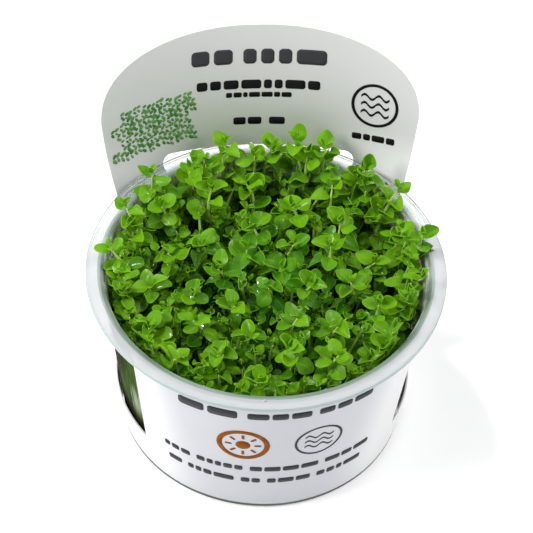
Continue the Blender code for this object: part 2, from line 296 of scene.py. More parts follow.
    def ridge(self, value: "Term", middle: float, half: float) -> "Term":
        """A mask that is 1 at a middle value and 0 from a half width away."""
        return self.fall(abs(value - middle), 0.0, half)

    def most(self, first: "Term", *others: "Term") -> "Term":
        """The largest of some values.

        Args:
            first: A value.
            others: The other values.

        Returns:
            The largest.
        """
        for other in others:
            first = self.maths("MAXIMUM", first, other)
        return first

    def bump(self, height: "Term", depth: float, strength: float = 1.0) -> "Term":
        """Turn a height from 0 to 1 into a normal, for a depth in metres.

        Args:
            height: The height.
            depth: What a height of 1 stands for, in metres.
            strength: How much of it shows.

        Returns:
            The normal.
        """
        made = self.node("ShaderNodeBump", {}, {
            "Height": height, "Distance": depth, "Strength": strength})
        return Term(self, made.outputs[0])

    def principled(self, sockets: Mapping[str, object]) -> bpy.types.NodeSocket:
        """Add a Principled shader, with its inputs by name, and return its output."""
        return self.node("ShaderNodeBsdfPrincipled", {}, sockets).outputs[0]

    def surface(self, shader: Union[Mapping[str, object], bpy.types.NodeSocket]) -> None:
        """End the tree.

        Args:
            shader: The output of a shader, or the inputs of a Principled one, by name.
        """
        if isinstance(shader, Mapping):
            shader = self.principled(shader)
        self.node("ShaderNodeOutputMaterial", {}, {"Surface": shader})


class Term:
    """A shader value that takes part in Python arithmetic."""

    def __init__(self, bench: Bench, socket: bpy.types.NodeSocket) -> None:
        """Keep the bench and the output that holds the value."""
        self.bench = bench
        self.socket = socket

    def __add__(self, other: object) -> "Term":
        """Sum."""
        return self.bench.maths("ADD", self, other)

    def __sub__(self, other: object) -> "Term":
        """Difference."""
        return self.bench.maths("SUBTRACT", self, other)

    def __rsub__(self, other: object) -> "Term":
        """Reflected difference."""
        return self.bench.maths("SUBTRACT", other, self)

    def __mul__(self, other: object) -> "Term":
        """Product."""
        return self.bench.maths("MULTIPLY", self, other)

    def __truediv__(self, other: object) -> "Term":
        """Quotient."""
        return self.bench.maths("DIVIDE", self, other)

    def __rtruediv__(self, other: object) -> "Term":
        """Reflected quotient."""
        return self.bench.maths("DIVIDE", other, self)

    def __abs__(self) -> "Term":
        """Size without sign."""
        return self.bench.maths("ABSOLUTE", self)

    __radd__ = __add__
    __rmul__ = __mul__


# Finishes


@dataclass(frozen=True)
class Finish:
    """A named finish, from which a material is made."""

    name: str

    def material(self) -> bpy.types.Material:
        """Make the material."""
        made = bpy.data.materials.new(self.name)
        made.use_nodes = True
        self.paint(Bench(made.node_tree))
        return made

    def paint(self, bench: Bench) -> None:
        """Build the material's nodes; each finish has its own."""
        raise NotImplementedError


class CupMasks:
    """Where a point of the cup lies: masks of its parts and of what is on them, by metres."""

    def __init__(self, bench: Bench) -> None:
        """Add the masks to a node tree.

        Args:
            bench: The material's node tree.
        """
        x, y, z = bench.axes(bench.place())
        radius = bench.reach(x, y)
        self.height = z
        self.flange = bench.band(radius, 0.0467, 0.0469)
        self.edge = bench.band(radius, 0.0496, 0.0498)
        rings = bench.ridge(radius, 0.0474, 0.0005) + bench.ridge(radius, 0.0487, 0.0004)
        self.rings = rings * self.flange
        self.shoulder = bench.band(z, 0.0480, 0.0500) * (1.0 - self.flange)
        self.wall = bench.fall(radius, 0.0449, 0.0453)
        # foot: the cup's lowest 1.5 mm, where painted dark shade lies
        self.foot = bench.fall(z, 0.0011, 0.0015)
        self.far = bench.band(y, 0.002, 0.022)
        # thin: where the painted shade on the shoulder is lighter, at the back and the edge
        self.thin = bench.most(self.edge, bench.band(y, -0.030, 0.005))
        self.front = (0.0 - y) / radius
        self.ahead = bench.band(self.front, 0.0, 0.10)
        self.streaks = bench.streaks(25.0, 1400.0, 2.0)
        self.stems = bench.streaks(900.0, 38.0, 3.0, 0.3)
        specks = bench.fall(bench.cells(1700.0), 0.18, 0.46)
        self.dots = specks * bench.band(bench.noise(130.0, 3.0), 0.34, 0.54) * self.wall
        outer = bench.band(radius - z * 0.0915, 0.0399, 0.0401)
        behind = bench.band(y, -0.036, -0.022)
        self.mist = self.wall * (1.0 - outer) * behind * bench.band(z, 0.036, 0.042) * 0.85
        below = self.wall * outer * bench.fall(z, 0.047, 0.049)
        above = (bench.band(radius, 0.0451, 0.0454) * (1.0 - self.flange)
                 * bench.fall(z, 0.0545, 0.0553))
        # side: the outer wall at the side windows, where a painted film stands for the shaded
        # plants inside
        self.side = bench.band(abs(x), 0.031, 0.034) * bench.most(below, above)


@dataclass(frozen=True)
class ClearPlastic(Finish):
    """Thin clear plastic, milky at flange and shoulder, misted behind, with painted shade on its
    shoulder, sides and foot.
    """

    clear: Colour = (0.975, 0.99, 0.985)
    # shoulder tints the clear plastic grey-green at the shoulder and edge: painted shade, as of the
    # shaded board seen through it
    shoulder: Colour = (0.74, 0.80, 0.78)
    # foot: painted dark shade at the cup's lowest edge
    foot: Colour = (0.035, 0.040, 0.016)
    milk: Colour = (0.72, 0.735, 0.76)
    # The next two colours are painted shade: the grey-green of the shoulder, edge and rings, as of
    # the shaded board and green bounce light seen through the milky plastic.
    haze_and_painted_shade: Colour = (0.27, 0.375, 0.30)
    thin_haze_and_painted_shade: Colour = (0.50, 0.585, 0.55)
    mist: Colour = (0.86, 0.93, 0.76)
    speck: Colour = (0.10, 0.14, 0.07)
    # The next five colours paint the film at the side windows: the darker ones are painted shade of
    # the plants inside, the last a painted pale reflection.
    deep: Colour = (0.010, 0.013, 0.004)
    painted_shade_olive: Colour = (0.024, 0.024, 0.006)
    green: Colour = (0.045, 0.095, 0.012)
    fresh: Colour = (0.15, 0.22, 0.06)
    pale: Colour = (0.29, 0.36, 0.22)
    refraction: float = 1.47
    most_covered: float = 0.95

    def paint(self, bench: Bench) -> None:
        """Mix the clear plastic with the milk, painted shade, mist and painted film that lie on it.

        Args:
            bench: The material's node tree.
        """
        at = CupMasks(bench)
        covered = bench.maths("MINIMUM", self.covered(bench, at), self.most_covered)
        bench.surface(bench.node("ShaderNodeMixShader", {}, {
            0: covered, 1: self.bare(bench, at), 2: self.hazy(bench, at)}).outputs[0])

    def covered(self, bench: Bench, at: CupMasks) -> Term:
        """Work out how much of the plastic the milk, painted shade, mist and painted film hide.

        Args:
            bench: The material's node tree.
            at: The cup's masks.

        Returns:
            The share.
        """
        flange = at.flange * (0.55 - at.far * 0.45) + at.edge * 0.3 + at.rings * at.far * 0.28
        # the shoulder's cover, which carries painted grey-green shade
        shoulder = at.shoulder * (0.52 - at.thin * 0.12 + at.streaks * 0.3)
        # the painted film at the side windows, nearly opaque where it faces forward
        film = at.side * (0.62 + bench.most(bench.band(at.stems, 0.34, 0.56), at.ahead) * 0.33)
        # the foot's cover carries painted dark shade
        return flange + shoulder + at.mist + film + at.foot * 0.7 + 0.02

    def bare(self, bench: Bench, at: CupMasks) -> bpy.types.NodeSocket:
        """Shade the clear plastic, with its moulding rings, fine drops, painted grey-green shade at
        the shoulder and painted dark shade at its foot.

        Args:
            bench: The material's node tree.
            at: The cup's masks.

        Returns:
            The shader's output.
        """
        # grey-green painted shade tints the plastic at the shoulder and edge
        tint = bench.blend(bench.most(at.shoulder, at.edge), self.clear, self.shoulder)
        return bench.principled({
            "Base Color": bench.blend(at.foot, tint, self.foot),
            "Roughness": 0.02 + at.flange * 0.06 + at.shoulder * 0.12 + at.mist * 0.25,
            "Transmission Weight": 1.0,
            "IOR": self.refraction,
            "Normal": bench.bump(at.rings * 0.5 + at.dots * at.mist * 0.6, 0.00004, 0.5),
        })

    def growth(self, bench: Bench, at: CupMasks) -> Term:
        """Colour the painted film: painted shade with stems at the sides, green, then a painted
        pale reflection in front.

        Args:
            bench: The material's node tree.
            at: The cup's masks.

        Returns:
            The colour.
        """
        drawn = bench.streaks(420.0, 24.0, 3.0, 0.4)
        # Towards the front the film runs from painted dark shade through green to a painted pale
        # reflection; low down it stays painted dark shade.
        turned = at.front + (drawn - 0.5) * 0.26 - bench.band(at.height, 0.014, 0.046) * 0.19
        ahead = bench.ramp(turned, (0.22, self.painted_shade_olive), (0.30, self.green), (0.38, self.green),
                           (0.42, self.pale))
        ahead = bench.blend(bench.band(at.height, 0.016, 0.025), self.painted_shade_olive, ahead)
        ahead = bench.blend(bench.fall(at.stems, 0.36, 0.54) * 0.7, ahead, self.deep)
        aside = bench.ramp(at.stems, (0.34, self.deep), (0.44, self.painted_shade_olive), (0.56, self.green),
                           (0.68, self.fresh))
        return bench.blend(at.ahead, aside, ahead)

    def hazy(self, bench: Bench, at: CupMasks) -> bpy.types.NodeSocket:
        """Shade what lies on the plastic: the flange's milk, painted shade on the shoulder, specks
        of mist, the painted film and painted shade at the foot.

        Args:
            bench: The material's node tree.
            at: The cup's masks.

        Returns:
            The shader's output.
        """
        # painted grey-green shade on the shoulder, lighter at the back, at the edge and along
        # streaks
        thinned = at.thin + bench.band(at.streaks, 0.48, 0.60) * 0.5
        hazed_with_painted_shade = bench.blend(thinned, self.haze_and_painted_shade, self.thin_haze_and_painted_shade)
        misted = bench.coats(hazed_with_painted_shade, (at.wall, self.mist), (at.dots * 0.9, self.speck))
        beside_milk = bench.most(at.shoulder, at.wall, at.edge, at.rings * at.far)
        return bench.principled({
            "Base Color": bench.coats(self.milk, (beside_milk, misted),
                                      (at.side, self.growth(bench, at)), (at.foot, self.foot)),
            "Roughness": 0.35 + at.streaks * 0.2,
            "Specular IOR Level": 0.0,
        })


@dataclass(frozen=True)
class SleeveBoard(Finish):
    """Smooth white coated board, with the faint unevenness of its fibres."""

    colour: Colour = (0.80, 0.80, 0.805)
    dull: Colour = (0.77, 0.775, 0.775)
    # painted shade: a bluish grey that darkens the front panel's outer face
    front: Colour = (0.51, 0.525, 0.57)
    # painted shade: greyish green on the card's face just above the flange, as shade and green
    # bounce light behind the plants
    painted_green_shade: Colour = (0.56, 0.62, 0.51)
    # painted shade: a dark line along the board's lowest edge, where it meets the floor
    painted_foot_shade: Colour = (0.035, 0.036, 0.018)

    def paint(self, bench: Bench) -> None:
        """White board with a satin coating, painted shade over the front panel, painted green shade
        behind the plants and a painted dark line of shade at its foot.

        Args:
            bench: The material's node tree.
        """
        x, y, z = bench.axes(bench.place())
        fibres = bench.noise(2600.0, 3.0, distortion=0.8)
        clouds = bench.noise(45.0, 2.0)
        plain = bench.blend(clouds * 0.5 + fibres * 0.12, self.colour, self.dull)
        # painted shade over the front panel's outer face
        facing = bench.fall(y, -0.040, -0.030)
        # painted green shade on the card's face behind the plants, above the flange
        behind = (bench.band(z, 0.0500, 0.0535) * bench.fall(z, 0.056, 0.082)
                  * bench.fall(abs(x), 0.016, 0.034) * bench.band(y, 0.030, 0.042))
        # painted dark shade on the lowest strip of the board, below about 2.4 mm
        foot = bench.fall(z + clouds * 0.0005, 0.0021, 0.0024)
        bench.surface({
            "Base Color": bench.coats(plain, (facing * (0.7 + clouds * 0.2), self.front),
                                      (behind * (0.55 + clouds * 0.4), self.painted_green_shade),
                                      (foot, self.painted_foot_shade)),
            "Roughness": 0.42 + fibres * 0.1 - clouds * 0.06,
            "Coat Weight": 0.12 + clouds * 0.06,
            "Coat Roughness": 0.22,
            "Normal": bench.bump(fibres + clouds * 0.6, 0.00002, 0.5),
        })


@dataclass(frozen=True)
class CutBoard(Finish):
    """The board's raw cut edge, where its fibres show."""

    colour: Colour = (0.88, 0.88, 0.87)
    layer: Colour = (0.76, 0.75, 0.72)

    def paint(self, bench: Bench) -> None:
        """Raw fibres in layers.

        Args:
            bench: The material's node tree.
        """
        layers = bench.noise(9000.0, 2.0)
        bench.surface({
            "Base Color": bench.blend(layers, self.colour, self.layer),
            "Roughness": 0.8 + layers * 0.15,
            "Normal": bench.bump(layers, 0.00004, 0.6),
        })


@dataclass(frozen=True)
class PrintInk(Finish):
    """Printing ink on board: a slightly uneven film with a soft shine."""

    colour: Colour
    worn: Colour

    def paint(self, bench: Bench) -> None:
        """An even film of ink that is worn thin in places.

        Args:
            bench: The material's node tree.
        """
        screen = bench.noise(3800.0, 2.0)
        fade = bench.noise(160.0, 3.0)
        bench.surface({
            "Base Color": bench.blend(screen * 0.25 + fade * 0.3, self.colour, self.worn),
            "Roughness": 0.45 + screen * 0.14,
            "Specular IOR Level": 0.06,
            "Normal": bench.bump(screen, 0.00001, 0.5),
        })


@dataclass(frozen=True)
class NutrientGel(Finish):
    """Cloudy pale jelly, with small bubbles and fine lumps."""

    colour: Colour = (0.70, 0.74, 0.48)
    deep: Colour = (0.42, 0.46, 0.20)

    def paint(self, bench: Bench) -> None:
        """Clouded jelly with bubbles.

        Args:
            bench: The material's node tree.
        """
        clouds = bench.noise(120.0, 4.0, distortion=0.5)
        bubbles = bench.fall(bench.cells(420.0), 0.05, 0.22)
        bench.surface({
            "Base Color": bench.blend(clouds, self.colour, self.deep),
            "Roughness": 0.12 + clouds * 0.2,
            "Transmission Weight": 0.75,
            "IOR": 1.34,
            "Normal": bench.bump(clouds + bubbles * 0.5, 0.0002, 0.7),
        })


@dataclass(frozen=True)
class LeafBlade(Finish):
    """A fresh leaf with a wet shine, deeper green when old, and darker at the carpet's middle with
    painted shade.
    """

    young: Colour = (0.145, 0.365, 0.003)
    grown: Colour = (0.033, 0.185, 0.0005)
    old: Colour = (0.005, 0.05, 0.0005)
    vein: Colour = (0.26, 0.52, 0.02)

    def paint(self, bench: Bench) -> None:
        """A mottled green that goes with the tone, with painted shade at the carpet's middle, pale
        veins and a pale rim painted as a highlight.

        Args:
            bench: The material's node tree.
        """
        along, across, _ = bench.chart()
        x, y, _ = bench.axes(bench.place())
        offset = abs(across - 0.5)
        # painted shade: leaves nearer the upright axis than 3 cm are darker, most within 1 cm, as
        # the middle of the carpet lies in shade
        tone = bench.tone() + bench.band(bench.reach(x, y), 0.010, 0.030) * 0.17 - 0.13
        mottle = bench.noise(420.0, 3.0)
        green = bench.ramp(tone + (mottle - 0.5) * 0.28,
                           (0.05, self.old), (0.58, self.grown), (1.0, self.young))
        midrib = bench.fall(offset, 0.012, 0.05) * bench.fall(along, 0.35, 0.95)
        fan = abs(bench.maths("SINE", (along * 2.2 + offset * 1.6) * (1.6 * math.tau)))
        side_veins = bench.fall(fan, 0.02, 0.22) * bench.band(offset, 0.02, 0.1)
        veins = bench.most(midrib, side_veins * 0.25)
        # painted highlight: a pale rim along the leaf's edge, standing for rim light
        rim = bench.band(bench.most(offset, abs(along - 0.5)), 0.45, 0.495)
        bench.surface({
            "Base Color": bench.coats(green, (veins * 0.4, self.vein), (rim * 0.6, self.vein)),
            "Roughness": 0.36 + mottle * 0.16 - rim * 0.05,
            "Specular IOR Level": 0.14,
            "Subsurface Weight": 0.2,
            "Subsurface Radius": (0.6, 1.0, 0.12),
            "Subsurface Scale": 0.0008,
            "Coat Weight": 0.06 + bench.band(mottle, 0.45, 0.62) * 0.4,
            "Coat Roughness": 0.06,
            "Normal": bench.bump(bench.cells(3400.0) * 0.25 + mottle * 0.5 - veins * 0.8, 0.00012,
                                 0.6),
        })


@dataclass(frozen=True)
class StemSkin(Finish):
    """A thin juicy stem: pale where it is young, with fine ridges along it."""

    young: Colour = (0.56, 0.76, 0.20)
    grown: Colour = (0.18, 0.43, 0.03)
    old: Colour = (0.022, 0.11, 0.005)

    def paint(self, bench: Bench) -> None:
        """A mottled green that goes with the tone, finely ridged.

        Args:
            bench: The material's node tree.
        """
        mottle = bench.noise(600.0, 3.0)
        ridges = bench.noise(2400.0, 1.0)
        bench.surface({
            "Base Color": bench.ramp(bench.tone() + (mottle - 0.5) * 0.25, (0.0, self.old),
                                     (0.55, self.grown), (1.0, self.young)),
            "Roughness": 0.36 + mottle * 0.15,
            "Subsurface Weight": 0.3,
            "Subsurface Radius": (0.7, 1.0, 0.25),
            "Subsurface Scale": 0.0009,
            "Coat Weight": 0.1 + mottle * 0.1,
            "Coat Roughness": 0.12,
            "Normal": bench.bump(ridges, 0.00006, 0.5),
        })


@dataclass(frozen=True)
class RootFibre(Finish):
    """Fine roots and dry fibres, off-white to grey-brown."""

    pale: Colour = (0.42, 0.39, 0.24)
    brown: Colour = (0.07, 0.055, 0.025)

    def paint(self, bench: Bench) -> None:
        """Pale fibres with brown stains.

        Args:
            bench: The material's node tree.
        """
        stains = bench.noise(320.0, 4.0)
        bench.surface({
            "Base Color": bench.blend(bench.band(stains, 0.35, 0.65), self.pale, self.brown),
            "Roughness": 0.7 + stains * 0.2,
            "Normal": bench.bump(stains, 0.0001, 0.6),
        })


@dataclass(frozen=True)
class StudioPaper(Finish):
    """The plain pale paper that the cup stands on."""

    colour: Colour = (0.92, 0.92, 0.925)
    grey: Colour = (0.90, 0.90, 0.90)
    glow: float = 0.35

    def paint(self, bench: Bench) -> None:
        """Faintly grained paper that glows a little, as under a broad soft light.

        Args:
            bench: The material's node tree.
        """
        grain = bench.noise(600.0, 2.0)
        bench.surface({
            "Base Color": bench.blend(grain * 0.2, self.colour, self.grey),
            "Emission Color": self.colour,
            "Emission Strength": self.glow,
            "Roughness": 0.85 + grain * 0.1,
            "Normal": bench.bump(grain, 0.00002, 0.3),
        })


# Pieces


class Workshop:
    """Turns shaped meshes into pieces of the object, and keeps the finishes that they share."""

    def __init__(self) -> None:
        """Start with no material made."""
        self.materials: dict[str, bpy.types.Material] = {}

    def dress(self, finish: Finish) -> bpy.types.Material:
        """Return the finish's material, made at its first use.

        Args:
            finish: The finish.

        Returns:
            Its material.
        """
        if finish.name not in self.materials:
            self.materials[finish.name] = finish.material()
        return self.materials[finish.name]

    def piece(self, name: str, bm: bmesh.types.BMesh, finishes: Sequence[Finish], slot: Slot,
              replaced: Iterable[str] = (), crease: float = 40.0) -> bpy.types.Object:
        """Place a shaped mesh as a piece of the object.

        Args:
            name: The piece's name.
            bm: Its mesh, in millimetres; it is freed.
            finishes: The finishes of its material slots.
            slot: The record's slot for its finish; not used.
            replaced: CAD nodes that it stands for.
            crease: Angle in degrees past which an edge is shaded sharp.

        Returns:
            The new object.
        """
        bmesh.ops.transform(bm, matrix=Matrix.Scale(MM, 4), verts=bm.verts)
        mesh = bpy.data.meshes.new(name)
        bm.to_mesh(mesh)
        bm.free()
        for finish in finishes:
            mesh.materials.append(self.dress(finish))
        mesh.shade_smooth()
        mesh.set_sharp_from_angle(angle=math.radians(crease))
        made = put(name, mesh)
        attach(made, "root")
        if replaced:
            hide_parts(*replaced)
        stood_for = ", ".join(replaced) or "none"
        log.info("%s: %d faces, stands for %s", name, len(mesh.polygons), stood_for)
        return made


def sweep(bm: bmesh.types.BMesh, path: Sequence[Vector], radii: Sequence[float],
          sides: int) -> list:
    """Draw a closed round tube along a path.

    Args:
        bm: The mesh that it is added to.
        path: Points along its middle.
        radii: Its radius at each point.
        sides: Number of sides.

    Returns:
        The new vertices.
    """
    directions = [(path[min(i + 1, len(path) - 1)] - path[max(i - 1, 0)]).normalized()
                  for i in range(len(path))]
    turns = [direction.to_track_quat("Z", "Y").to_matrix().to_4x4() for direction in directions]
    frames = [Matrix.Translation(point) @ turn @ Matrix.Scale(radius, 4)
              for point, turn, radius in zip(path, turns, radii)]
    start = bmesh.ops.create_circle(bm, segments=sides, radius=1.0, matrix=frames[0])["verts"]
    made = list(start)
    ring = list({edge for vert in start for edge in vert.link_edges})
    ends = list(ring)
    for before, after in zip(frames, frames[1:]):
        grown = bmesh.ops.extrude_edge_only(bm, edges=ring)["geom"]
        verts = [part for part in grown if isinstance(part, bmesh.types.BMVert)]
        fresh = set(verts)
        bmesh.ops.transform(bm, matrix=after @ before.inverted(), verts=verts)
        ring = [part for part in grown if isinstance(part, bmesh.types.BMEdge)
                and part.verts[0] in fresh and part.verts[1] in fresh]
        made += verts
    bmesh.ops.holes_fill(bm, edges=ends + ring, sides=sides)
    return made


def turn_section(section: Sequence[Span], steps: int, support: float = 0.35,
                 stretch: float = 6.0) -> bmesh.types.BMesh:
    """Spin an open section into a closed turned body.

    Args:
        section: Its (radius, height) points, from the axis back to the axis.
        steps: Number of steps round.
        support: Distance from a corner of the extra ring that keeps the stretch beside it flat.
        stretch: Longest distance between rings.

    Returns:
        The body, with its faces outwards.
    """
    points = [section[0]]
    for start, end in zip(section, section[1:]):
        length = math.dist(start, end)
        shares = [1.0]
        if length > 3.0 * support:
            inner = support / length
            count = max(1, round(length / stretch))
            shares = stations(inner, 1.0 - inner, count) + [1.0]
        points += [(mix(start[0], end[0], share), mix(start[1], end[1], share)) for share in shares]
    bm = bmesh.new()
    verts = [bm.verts.new((radius, 0.0, height)) for radius, height in points]
    for first, second in zip(verts, verts[1:]):
        bm.edges.new((first, second))
    bmesh.ops.spin(bm, geom=bm.verts[:] + bm.edges[:], cent=(0.0, 0.0, 0.0), axis=(0.0, 0.0, 1.0),
                   dvec=(0.0, 0.0, 0.0), angle=math.tau, steps=steps, use_merge=True)
    bmesh.ops.remove_doubles(bm, verts=bm.verts, dist=0.001)
    bmesh.ops.recalc_face_normals(bm, faces=bm.faces)
    return bm


@dataclass(frozen=True)
class ClearCup:
    """The turned cup: floor, tapered wall, stacking step, rounded mouth and wide flange."""

    height: float = 56.4
    flange_radius: float = 50.0
    flange_thickness: float = 0.9
    lip_depth: float = 1.1
    lip_width: float = 0.7
    mouth_radius: float = 46.6
    base_radius: float = 40.4
    wall: float = 0.8
    floor: float = 1.0
    wall_taper: float = 4.5
    step_height: float = 49.2
    step_out: float = 0.6
    step_rise: float = 0.6
    step_under: float = 0.4
    straight_from: float = 2.0
    floor_round: float = 1.2
    heel: float = 0.8
    gusset: float = 0.6
    edge_round: float = 0.15
    mouth_curve: tuple[Span, ...] = ((0.15, 1.3), (0.45, 0.6))
    rounding: float = 0.13
    corner_angle: float = math.radians(12.0)
    nub_radius: float = 0.4
    nub_across: float = -3.0
    segments: int = 180

    def inner_radius(self, height: float) -> float:
        """Inner radius of the wall below the stacking step."""
        share = height / self.step_height
        return mix(self.base_radius, self.base_radius + self.wall_taper, share) - self.wall

    def profile(self) -> list[Span]:
        """List the section's (radius, height) points, from the inner floor round to the base."""
        below = self.base_radius + self.wall_taper
        above = below + self.step_out
        under = self.height - self.flange_thickness
        inner_lip = self.flange_radius - self.lip_width
        inner_foot = self.inner_radius(self.straight_from)
        return [
            (0.0, self.floor),
            (inner_foot - self.floor_round, self.floor),
            (inner_foot, self.floor + self.floor_round),
            (below - self.wall, self.step_height),
            (above - self.wall, self.step_height + self.step_rise),
            *((above - self.wall + out, self.height - down) for out, down in self.mouth_curve),
            (self.mouth_radius, self.height),
            (self.flange_radius - self.edge_round, self.height),
            (self.flange_radius, self.height - self.edge_round),
            (self.flange_radius, self.height - self.lip_depth),
            (inner_lip, self.height - self.lip_depth),
            (inner_lip, under),
            (above + self.gusset, under),
            (above, self.step_height + self.step_under),
            (below, self.step_height - self.step_rise),
            (self.base_radius, self.heel),
            (self.base_radius - self.heel, 0.0),
            (0.0, 0.0),
        ]

    def build(self, shop: Workshop) -> bpy.types.Object:
        """Spin the section, round its corners and add the small moulding nub on the mouth's edge.

        Args:
            shop: The workshop.

        Returns:
            The cup.
        """
        bm = turn_section(self.profile(), self.segments)
        corners = [edge for edge in bm.edges
                   if abs(edge.verts[0].co.z - edge.verts[1].co.z) < 0.001
                   and edge.calc_face_angle(0.0) > self.corner_angle]
        bmesh.ops.bevel(bm, geom=corners, offset=self.rounding, offset_type="OFFSET", segments=2,
                        profile=0.5, affect="EDGES", material=-1, clamp_overlap=True)
        nub = Vector((self.nub_across, -self.mouth_radius - self.nub_radius, self.height))
        bmesh.ops.create_icosphere(bm, subdivisions=2, radius=self.nub_radius,
                                   matrix=Matrix.Translation(nub))
        return shop.piece("clear_cup", bm, [ClearPlastic("clear_plastic")], Slot.CLEAR, ["cup"],
                          50.0)


@dataclass(frozen=True)
class CardSleeve:
    """One sheet of board: a band, a front panel, two side windows and a tall arched back card."""

    cup: ClearCup
    thickness: float = 0.45
    band_bottom: float = 0.9
    band_top: float = 54.6
    radius_bottom: float = 40.95
    radius_top: float = 46.6
    window_bottom: float = 14.5
    window_left: float = math.radians(-53.0)
    window_right: float = math.radians(57.0)
    lean: float = math.radians(13.8)
    leans_from: float = 48.0
    curve_radius: float = 91.7
    flattens: Span = (35.0, 65.0)
    half_width: float = 47.2
    side_taper: float = 0.12
    widest: float = 15.0
    arch_rise: float = 24.5
    arch_powers: Span = (2.2, 0.41)
    slot_half_length: float = 28.6
    slot_bottom: float = 51.6
    slot_top: float = 56.9
    low_rows: tuple[float, ...] = (5.0, 10.0)
    close_rows: Span = (48.5, 60.0)
    back_columns: int = 84
    front_columns: int = 40
    side_columns: int = 26
    edge_round: float = 0.05

    def band_radius(self, height: float) -> float:
        """Inner radius of the band, which tapers with the cup."""
        amount = (height - self.band_bottom) / (self.band_top - self.band_bottom)
        return mix(self.radius_bottom, self.radius_top, amount)

    def card_half_width(self, height: float) -> float:
        """Half the width of the flat back card at a height.

        Args:
            height: The height.

        Returns:
            Half the width.
        """
        rise = (height - self.cup.height) / math.cos(self.lean)
        if height <= self.window_bottom:
            drop = self.widest - (self.window_bottom - self.cup.height)
            lowest = self.half_width - self.side_taper * drop
            return lowest * self.band_radius(height) / self.band_radius(self.window_bottom)
        if rise <= self.widest:
            return self.half_width - self.side_taper * (self.widest - rise)
        outer, inner = self.arch_powers
        share = min(1.0, (rise - self.widest) / self.arch_rise)
        return self.half_width * (1.0 - share ** (1.0 / inner)) ** (1.0 / outer)

    def card_point(self, across: float, height: float, proud: float = 0.0) -> Vector:
        """Place a point of the back card.

        Args:
            across: Distance from its middle, along its curve.
            height: Height before the curve lifts it.
            proud: How far it stands in front of the card's inner face.

        Returns:
            The point.
        """
        flatness = smooth(*self.flattens, height)
        follow = self.band_radius(min(height, self.leans_from))
        back = follow + max(0.0, height - self.leans_from) * math.tan(self.lean)
        radius = 1.0 / mix(1.0 / follow, 1.0 / self.curve_radius, flatness)
        angle = across / radius
        sag = radius * (1.0 - math.cos(angle))
        lift = flatness * sag * math.sin(self.lean)
        point = Vector((radius * math.sin(angle), back - sag, height + lift))
        facing = Vector((-math.sin(angle), -math.cos(angle), math.tan(self.lean) * flatness))
        return point + proud * facing.normalized()

    def band_point(self, azimuth: float, height: float, proud: float = 0.0) -> Vector:
        """Place a point of the band, by its azimuth and its distance off the inner face."""
        radius = self.band_radius(height) + proud
        return Vector((radius * math.sin(azimuth), -radius * math.cos(azimuth), height))

    def card_heights(self) -> list[float]:
        """List the heights of the back card's rows, close together at the slot and the arch."""
        top = self.cup.height + self.widest * math.cos(self.lean)
        low = stations(self.window_bottom, self.close_rows[0], 12)[:-1]
        fine = stations(*self.close_rows, 16)[:-1]
        high = stations(self.close_rows[1], top, 5)[:-1]
        rise = self.arch_rise * math.cos(self.lean) * 0.998
        arch = [top + rise * math.sin(0.5 * math.pi * row / 18) for row in range(19)]
        return [self.band_bottom, *self.low_rows, *low, *fine, *high, *arch]

    def panel(self, bm: bmesh.types.BMesh, columns: int, heights: Sequence[float],
              across: Callable[[float, float], float]) -> list:
        """Add a flat panel, whose points hold a distance or angle across and a height.

        Args:
            bm: The mesh that it is added to.
            columns: Number of columns.
            heights: The rows' heights.
            across: Gives the place across from a column's share and a height.

        Returns:
            The panel's vertices.
        """
        rows = len(heights) - 1
        grid = bmesh.ops.create_grid(bm, x_segments=columns, y_segments=rows, size=1.0)
        for vert in grid["verts"]:
            height = heights[round((vert.co.y + 1.0) / 2.0 * rows)]
            vert.co = (across((vert.co.x + 1.0) / 2.0, height), height, 0.0)
        return grid["verts"]

    def cut_slot(self, bm: bmesh.types.BMesh) -> None:
        """Open the slot in the flat back panel and pull the rim onto its round-ended outline.

        Args:
            bm: The sheet's mesh, with the flat back panel alone.
        """
        radius = 0.5 * (self.slot_top - self.slot_bottom)
        middle = 0.5 * (self.slot_top + self.slot_bottom)
        straight = self.slot_half_length - radius

        def spine(point: Vector) -> Vector:
            """Nearest point of the slot's middle line."""
            return Vector((max(-straight, min(straight, point.x)), middle, 0.0))

        gone = [face for face in bm.faces
                if (face.calc_center_median() - spine(face.calc_center_median())).length < radius]
        rim = {vert for face in gone for vert in face.verts}
        bmesh.ops.delete(bm, geom=gone, context="FACES")
        for vert in rim:
            if vert.is_valid:
                centre = spine(vert.co)
                vert.co = centre + (vert.co - centre).normalized() * radius

